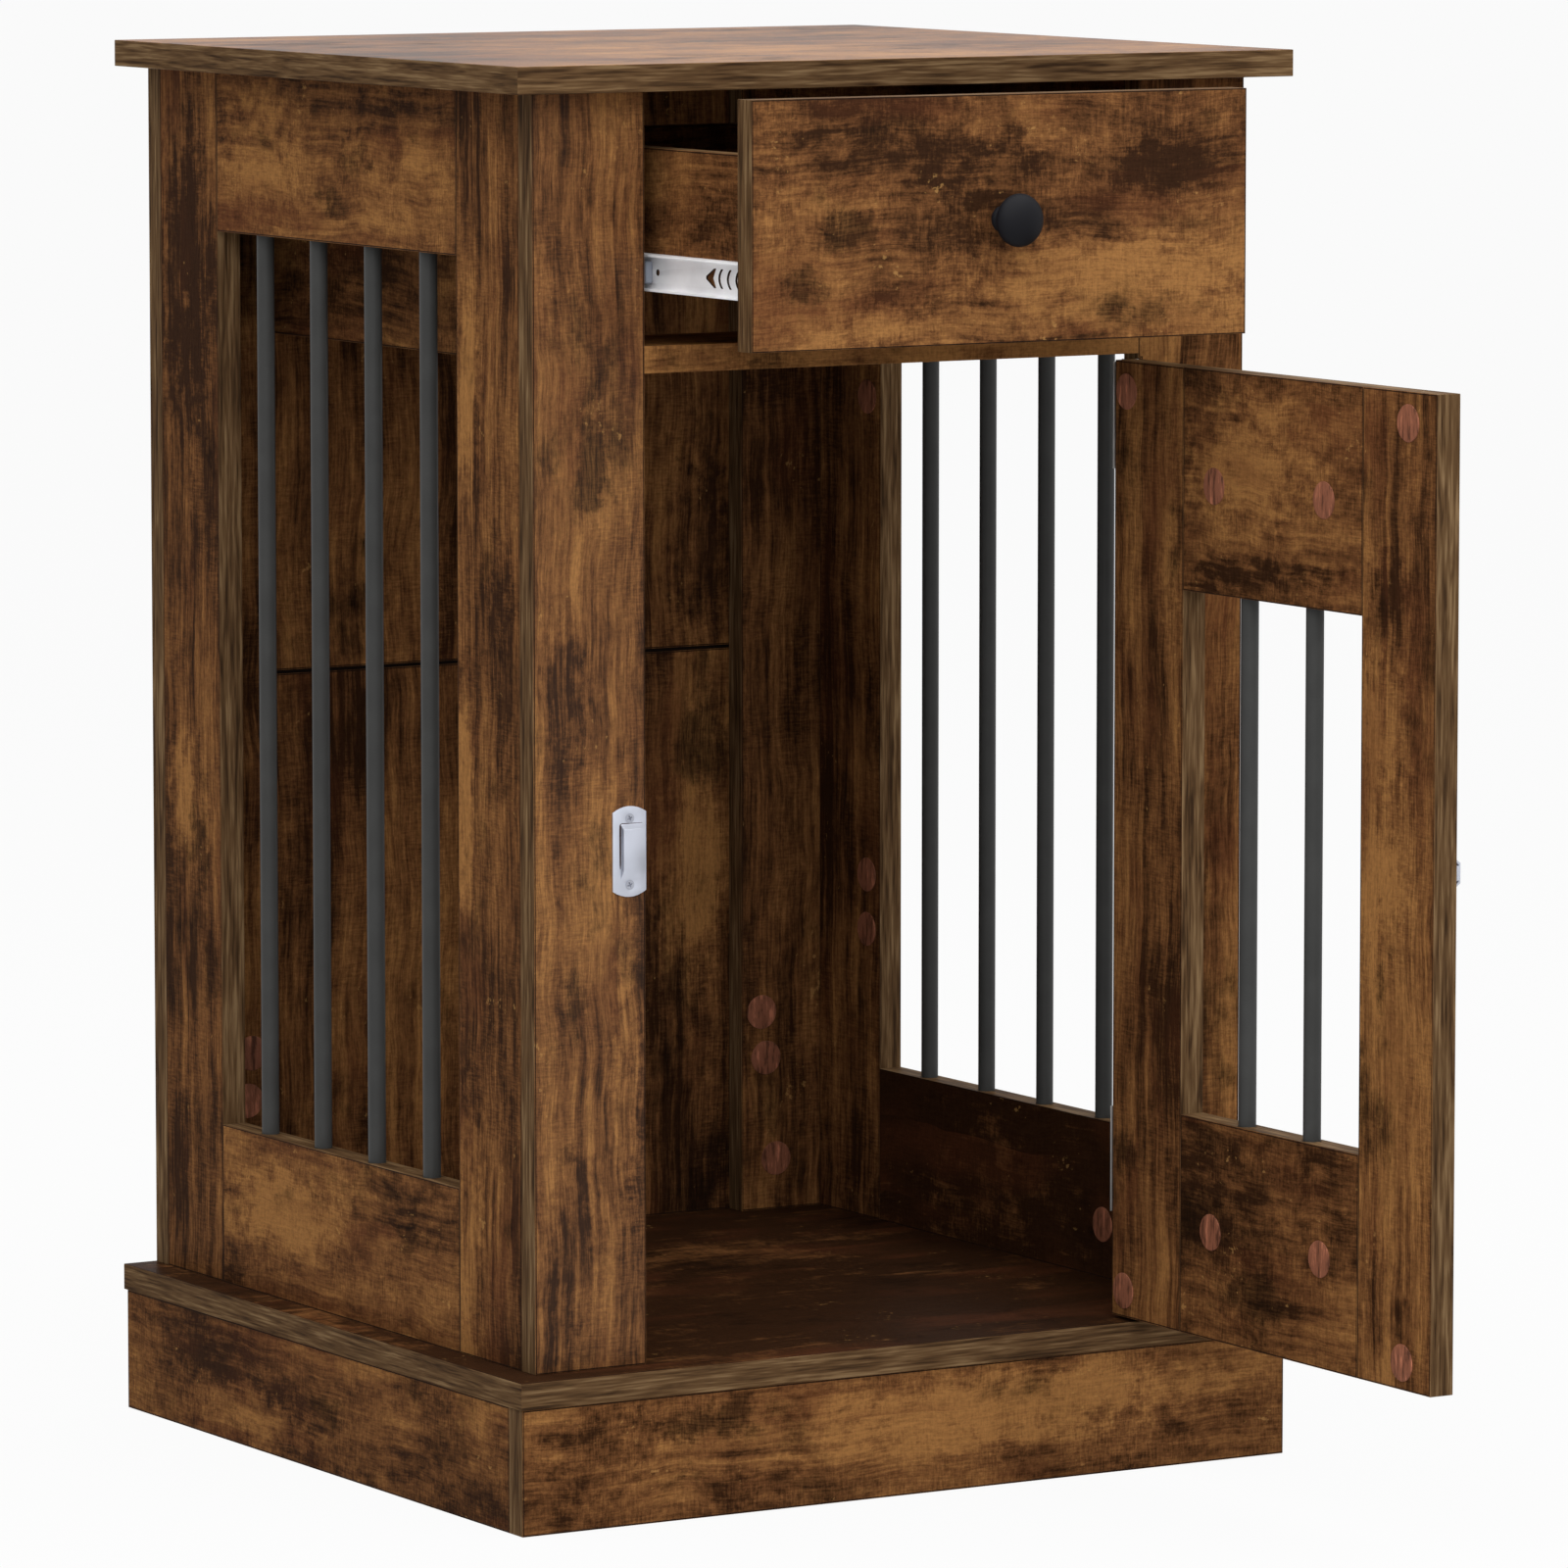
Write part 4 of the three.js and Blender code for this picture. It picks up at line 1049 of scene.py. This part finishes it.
class CRATE_OT_slides(bpy.types.Operator):
    """Finishes the drawer slides and their grey stops."""

    bl_idname = "crate.slides"
    bl_label = "Drawer slides"

    def execute(self, context):
        finish = settings().crate_hardware
        zinc = coated("White zinc", finish.zinc, 0.4, 1800.0, 0.00002, specular_ior_level=0.9)
        cage = coated("Cage steel", srgb(160, 165, 172), 0.35, 1500.0, 0.00002, metallic=0.8)
        grey = coated("Stop plastic", finish.plastic, 0.5, 2500.0, 0.00003)
        # Painted shade: a dark brown for the walls of the slots, which lie in shadow.
        shade = coated("Slot wall painted shade", srgb(52, 38, 30), 0.7, 2200.0, 0.00002, specular_ior_level=0.1)
        for side in SIDES:
            refine(f"slide_channel_{side}", zinc, 0.0002)
            rail = refine(f"slide_rail_{side}", zinc, 0.0002)
            self.paint_slot_shade(rail.data, side, shade)
            refine(f"ball_cage_{side}", cage, 0.0001)
            self.add_stop(side, grey)
        refine("knob_screw", zinc, 0.0002)
        return {"FINISHED"}

    def paint_slot_shade(self, mesh, side, material):
        """Painted shade: the walls of the slots cut through the drawer member's web get a dark
        brown for the shadow that lies in them.
        """
        centre = middle(f"slide_rail_{side}").z
        mesh.materials.append(material)
        for face in mesh.polygons:
            in_slot = abs(face.center.z - centre) < HALF_SLOT
            face.material_index = int(in_slot and abs(face.normal.x) < 0.5)

    def add_stop(self, side, material):
        """The moulded stop that lies in the drawer member, behind its slots."""
        low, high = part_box(f"slide_rail_{side}")
        web, hand = (high.x, -1) if side == "left" else (low.x, 1)
        across = web + hand * (STOP_GAP + STOP_SIZE[0] / 2)
        centre = Vector((across, low.y + STOP_BEHIND, (low.z + high.z) / 2))
        bm = bmesh.new()
        bmesh.ops.create_cube(bm, size=1)
        placed = Matrix.Translation(centre) @ Matrix.Diagonal((*STOP_SIZE, 1))
        bmesh.ops.transform(bm, matrix=placed, verts=bm.verts)
        soften(bm, STOP_ROUND, 4)
        smooth_piece(f"slide_stop_{side}", bm, material, "drawer")


SCREW_SIDES = 32
PLATE_STEEL = 0.001  # thickness of the keeper and of the guide's plate
# Radius of the latch's screws, and how far they sit from the plate's middle.
KEEPER_SCREW, KEEPER_SCREW_UP = 0.0027, 0.0183
GUIDE_SCREW, GUIDE_SCREW_ALONG, GUIDE_SCREW_UP = 0.0024, 0.0124, 0.0084
# The keeper's opening, a dark sheet of painted shade: its ends, from the plate's right edge and
# from its lower end.
OPENING_LEFT, OPENING_RIGHT = 0.0164, 0.0025
OPENING_BOTTOM, OPENING_TOP = 0.0156, 0.0405
OPENING_TURN = 0.0013  # radius of its round corner
OPENING_PROUD = 0.00004  # how far it lies in front of the plate
# Half its width at its start, up the side, where the corner reaches the top, and at its end.
# The corner starts twice as wide as it ends.
OPENING_START, OPENING_SIDE, OPENING_CORNER, OPENING_END = 0.0002, 0.0005, 0.0003, 0.0001


def only(kind, parts):
    """The parts that are of one kind."""
    return [part for part in parts if isinstance(part, kind)]


def ring(bm, points):
    """Edges of a closed outline."""
    verts = [bm.verts.new(point) for point in points]
    return [bm.edges.new(pair) for pair in zip(verts, verts[1:] + verts[:1])]


def screw(place, direction, radius, turn=0.0):
    """A flat screw head with a cross recess; its rim lies just proud of the place."""
    proud, sunk, recess = 0.00025, radius * 0.5, radius * 0.35
    arm, reach = radius * 0.13, radius * 0.58
    bm = bmesh.new()
    angles = [math.tau * i / SCREW_SIDES for i in range(SCREW_SIDES)]
    rim = ring(bm, [(radius * math.cos(a), radius * math.sin(a), proud) for a in angles])
    corner = ((reach, -arm), (reach, arm), (arm, arm))
    cross = []
    for quarter in range(4):
        spin = Matrix.Rotation(quarter * math.pi / 2 + turn, 3, "Z")
        cross += [spin @ Vector((x, y, proud)) for x, y in corner]
    slot = ring(bm, cross)
    bmesh.ops.triangle_fill(bm, use_beauty=True, edges=rim + slot)
    for edges, depth, shrink in ((slot, recess, 0.8), (rim, sunk, 0.55)):
        made = bmesh.ops.extrude_edge_only(bm, edges=edges)["geom"]
        verts = only(bmesh.types.BMVert, made)
        for vert in verts:
            vert.co = (vert.co.x * shrink, vert.co.y * shrink, proud - depth)
        loop = only(bmesh.types.BMEdge, made)
        loop = [edge for edge in loop if all(vert in verts for vert in edge.verts)]
        bmesh.ops.contextual_create(bm, geom=loop)
    bmesh.ops.recalc_face_normals(bm, faces=bm.faces)
    set_in_place(bm, direction, place)
    return bm


class CRATE_OT_hinges(bpy.types.Operator):
    """Finishes the hinges."""

    bl_idname = "crate.hinges"
    bl_label = "Hinges"

    def execute(self, context):
        steel = coated("Hinge steel", srgb(176, 176, 174), 0.36, 1500.0, 0.00002, metallic=0.85)
        for place in ("upper", "lower"):
            for part in ("frame_leaf", "door_leaf", "pin"):
                refine(f"hinge_{part}_{place}", steel, 0.00012)
            self.add_leaf_screws(place, steel)
        return {"FINISHED"}

    def add_leaf_screws(self, place, steel):
        """Three flush screws in each leaf, on the side that faces its mate."""
        radius, inset, flush, count = 0.0026, 0.0066, 0.0002, 3
        low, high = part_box(f"hinge_frame_leaf_{place}")
        heights = [low.z + (high.z - low.z) * (i + 0.5) / count for i in range(count)]
        post = [(low.x + flush, high.y - inset, z) for z in heights]
        low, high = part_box(f"hinge_door_leaf_{place}")
        door = [(low.x + inset, high.y - flush, z) for z in heights]
        for body, places, way in (("cabinet", post, (-1, 0, 0)), ("door", door, (0, 1, 0))):
            screws = joined(screw(spot, way, radius, 0.4 * i) for i, spot in enumerate(places))
            smooth_piece(f"hinge_screws_{place}_{body}", screws, steel, body)


class CRATE_OT_latch(bpy.types.Operator):
    """Finishes the slide bolt, its guide and the keeper."""

    bl_idname = "crate.latch"
    bl_label = "Latch"

    def execute(self, context):
        finish = settings().crate_hardware
        nickel = coated("Satin nickel", finish.nickel, 0.36, 1700.0, 0.00002, metallic=0.35)
        for part in ("keeper", "guide", "bolt"):
            refine(f"latch_{part}", nickel, 0.0002)
        steel = coated("Screw steel", srgb(172, 175, 186), 0.38, 1700.0, 0.00002, metallic=0.4)
        self.add_keeper_screws(steel)
        self.add_guide_screws(steel)
        self.add_opening_shade()
        return {"FINISHED"}

    def add_keeper_screws(self, steel):
        """A screw near each end of the keeper's plate."""
        centre = middle("latch_keeper")
        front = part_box("latch_keeper")[1].y - PLATE_STEEL
        heights = (centre.z - KEEPER_SCREW_UP, centre.z + KEEPER_SCREW_UP)
        screws = [screw((centre.x, front, z), (0, -1, 0), KEEPER_SCREW, z) for z in heights]
        smooth_piece("keeper_screws", joined(screws), steel, "cabinet")

    def add_guide_screws(self, steel):
        """A screw near each corner of the guide's plate."""
        centre = middle("latch_guide")
        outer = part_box("latch_guide")[0].x + PLATE_STEEL
        screws = [
            screw((outer, y, z), (1, 0, 0), GUIDE_SCREW, 9 * y)
            for y in (centre.y - GUIDE_SCREW_ALONG, centre.y + GUIDE_SCREW_ALONG)
            for z in (centre.z - GUIDE_SCREW_UP, centre.z + GUIDE_SCREW_UP)
        ]
        smooth_piece("guide_screws", joined(screws), steel, "door")

    def add_opening_shade(self):
        """A dark sheet of painted shade over the real opening in the keeper's plate, round a corner
        of the hood pressed from it; its run along the hood's top is a painted shadow line.
        """
        low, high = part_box("latch_keeper")
        left, right = high.x - OPENING_LEFT, high.x - OPENING_RIGHT
        bottom, top = low.z + OPENING_BOTTOM, low.z + OPENING_TOP
        face = high.y - PLATE_STEEL - OPENING_PROUD
        turn = OPENING_TURN
        path = [(left, bottom, 180, OPENING_START), (left, bottom + 2 * turn, 180, OPENING_SIDE)]
        for angle in (180, 150, 120, 90):
            across, up = math.cos(math.radians(angle)), math.sin(math.radians(angle))
            x, z = left + turn * (1 + across), top - turn * (1 - up)
            path.append((x, z, angle, OPENING_CORNER * (2 - up)))
        path.append((right, top, 90, OPENING_END))
        outline = [self.beside(*stop) for stop in path]
        outline += [self.beside(x, z, angle, -half) for x, z, angle, half in reversed(path)]
        bm = bmesh.new()
        sheet = bm.faces.new([bm.verts.new((x, face, z)) for x, z in outline])
        made = bmesh.ops.extrude_face_region(bm, geom=[sheet])["geom"]
        moved = only(bmesh.types.BMVert, made)
        bmesh.ops.translate(bm, vec=(0, PLATE_STEEL / 2, 0), verts=moved)
        bmesh.ops.recalc_face_normals(bm, faces=bm.faces)
        # Painted shade: the opening and the shadow line along the hood's top are coloured dark.
        dark = coated("Keeper opening painted shade", srgb(58, 38, 36), 0.6, 2200.0, 0.00002)
        mesh = new_mesh("keeper_opening_shade", bm)
        new_piece("keeper_opening_shade", mesh, [dark], "cabinet")

    def beside(self, x, z, angle, distance):
        """A point moved by a distance at an angle in degrees."""
        turned = math.radians(angle)
        return x + distance * math.cos(turned), z + distance * math.sin(turned)


class CRATE_OT_joiner(bpy.types.Operator):
    """Finishes the strip that joins the back sheets."""

    bl_idname = "crate.joiner"
    bl_label = "Back joiner"

    def execute(self, context):
        tint = srgb(24, 17, 12)
        dark = coated("Joiner plastic", tint, 0.55, 2200.0, 0.00003, specular_ior_level=0.02)
        refine("back_joiner", dark, 0.0001)
        self.add_back_screws()
        return {"FINISHED"}

    def add_back_screws(self):
        """Small screws round the edges of the two back sheets."""
        steel = coated("Back screw steel", srgb(60, 56, 52), 0.4, 1700.0, 0.00002, metallic=0.3)
        radius, inset = 0.003, 0.009
        screws = []
        for sheet in ("back_sheet_upper", "back_sheet_lower"):
            low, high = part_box(sheet)
            rows = [low.z + inset + (high.z - low.z - 2 * inset) * i / 2 for i in range(3)]
            screws += [
                screw((x, high.y, z), (0, 1, 0), radius, 7 * x + 5 * z)
                for x in (low.x + inset, high.x - inset)
                for z in rows
            ]
        smooth_piece("back_screws", joined(screws), steel, "cabinet")


# ---- Stage ----


def add_area(name, place, aim, size, power):
    light = bpy.data.lights.new(name, "AREA")
    light.energy = power
    light.shape = "RECTANGLE"
    light.size, light.size_y = size
    lamp = new_object(name, light)
    lamp.location = place
    lamp.rotation_euler = (Vector(aim) - Vector(place)).to_track_quat("-Z", "Y").to_euler()


def white_to_camera(tree):
    """1 where the world or floor is seen directly, in gloss or through glass."""
    path = node(tree, "LightPath").outputs
    seen = maths(tree, "MAXIMUM", path["Is Camera Ray"], path["Is Glossy Ray"])
    return maths(tree, "MAXIMUM", seen, path["Is Transmission Ray"])


class CRATE_OT_stage(bpy.types.Operator):
    """Sets the floor, the light and the camera."""

    bl_idname = "crate.stage"
    bl_label = "Stage"

    def execute(self, context):
        scene = context.scene
        stage = scene.crate_stage
        scene.view_settings.view_transform = "Standard"
        self.add_world(scene, stage)
        self.add_floor(stage)
        add_area("Overhead", (-0.3, -0.8, 2.9), (-0.1, 0.1, 0.4), (5.0, 5.0), 160)
        add_area("Front", (-1.6, -3.4, 1.5), (0, 0.2, 0.4), (2.5, 2.0), 16)
        self.add_camera(scene, stage)
        return {"FINISHED"}

    def add_world(self, scene, stage):
        world = bpy.data.worlds.new("Studio")
        world.use_nodes = True
        scene.world = world
        tree = world.node_tree
        shown = tree.nodes["Background"]
        shown.inputs["Color"].default_value = (1, 1, 1, 1)
        strength = remap(tree, white_to_camera(tree), 0.0, 1.0, stage.ambient, 1.0)
        tree.links.new(strength, shown.inputs["Strength"])

    def add_floor(self, stage):
        bm = bmesh.new()
        bmesh.ops.create_grid(bm, x_segments=1, y_segments=1, size=stage.floor_size / 2)
        floor = new_object("floor", new_mesh("floor", bm))
        material, tree, shader = new_material("Pale floor", roughness=0.9)
        speck = noise(tree, object_place(tree), 40.0, 4.0)
        lighter = tuple(min(1.0, c * 1.04) for c in stage.floor)
        shade = mix(tree, speck, stage.floor, lighter)
        tree.links.new(shade, shader.inputs["Base Color"])
        glow = node(tree, "Emission", {"Color": (1.0, 1.0, 1.0), "Strength": 1.0})
        white = maths(tree, "MULTIPLY", white_to_camera(tree), 1 - stage.shadow)
        blend = node(tree, "MixShader", {0: white, 1: shader.outputs[0], 2: glow.outputs[0]})
        tree.links.new(blend.outputs[0], tree.nodes["Material Output"].inputs["Surface"])
        floor.data.materials.append(material)

    def add_camera(self, scene, stage):
        data = bpy.data.cameras.new("Camera")
        data.sensor_width = 36
        data.lens = stage.lens
        data.clip_end = 200
        camera = new_object("Camera", data)
        camera.location = stage.camera
        level = math.cos(stage.tilt)
        ahead = Vector(
            (math.sin(stage.turn) * level, math.cos(stage.turn) * level, -math.sin(stage.tilt))
        )
        camera.rotation_euler = ahead.to_track_quat("-Z", "Y").to_euler()
        scene.camera = camera


class CRATE_PT_panel(bpy.types.Panel):
    """Lists the steps in the sidebar."""

    bl_label = "Crate Table"
    bl_idname = "CRATE_PT_panel"
    bl_space_type = "VIEW_3D"
    bl_region_type = "UI"
    bl_category = "Crate Table"

    def draw(self, context):
        for operator in OPERATORS:
            self.layout.operator(operator.bl_idname)


GROUPS = {
    "crate_print": CratePrint,
    "crate_edges": CrateEdges,
    "crate_hardware": CrateHardware,
    "crate_stage": CrateStage,
}
OPERATORS = (
    CRATE_OT_stage,
    CRATE_OT_cabinet_boards,
    CRATE_OT_drawer_boards,
    CRATE_OT_door_boards,
    CRATE_OT_sheets,
    CRATE_OT_joiner,
    CRATE_OT_bars,
    CRATE_OT_knob,
    CRATE_OT_slides,
    CRATE_OT_hinges,
    CRATE_OT_latch,
    CRATE_OT_caps,
)


def register():
    for made in (*GROUPS.values(), *OPERATORS, CRATE_PT_panel):
        bpy.utils.register_class(made)
    for name, group in GROUPS.items():
        setattr(bpy.types.Scene, name, PointerProperty(type=group))


def unregister():
    for name in GROUPS:
        delattr(bpy.types.Scene, name)
    for made in (CRATE_PT_panel, *reversed(OPERATORS), *reversed(list(GROUPS.values()))):
        bpy.utils.unregister_class(made)


def main():
    register()
    for make in (make_print_group, make_band_group, make_spot_group, make_coat_group):
        make()
    for operator in OPERATORS:
        area, name = operator.bl_idname.split(".")
        getattr(getattr(bpy.ops, area), name)()


if __name__ == "__main__":
    main()
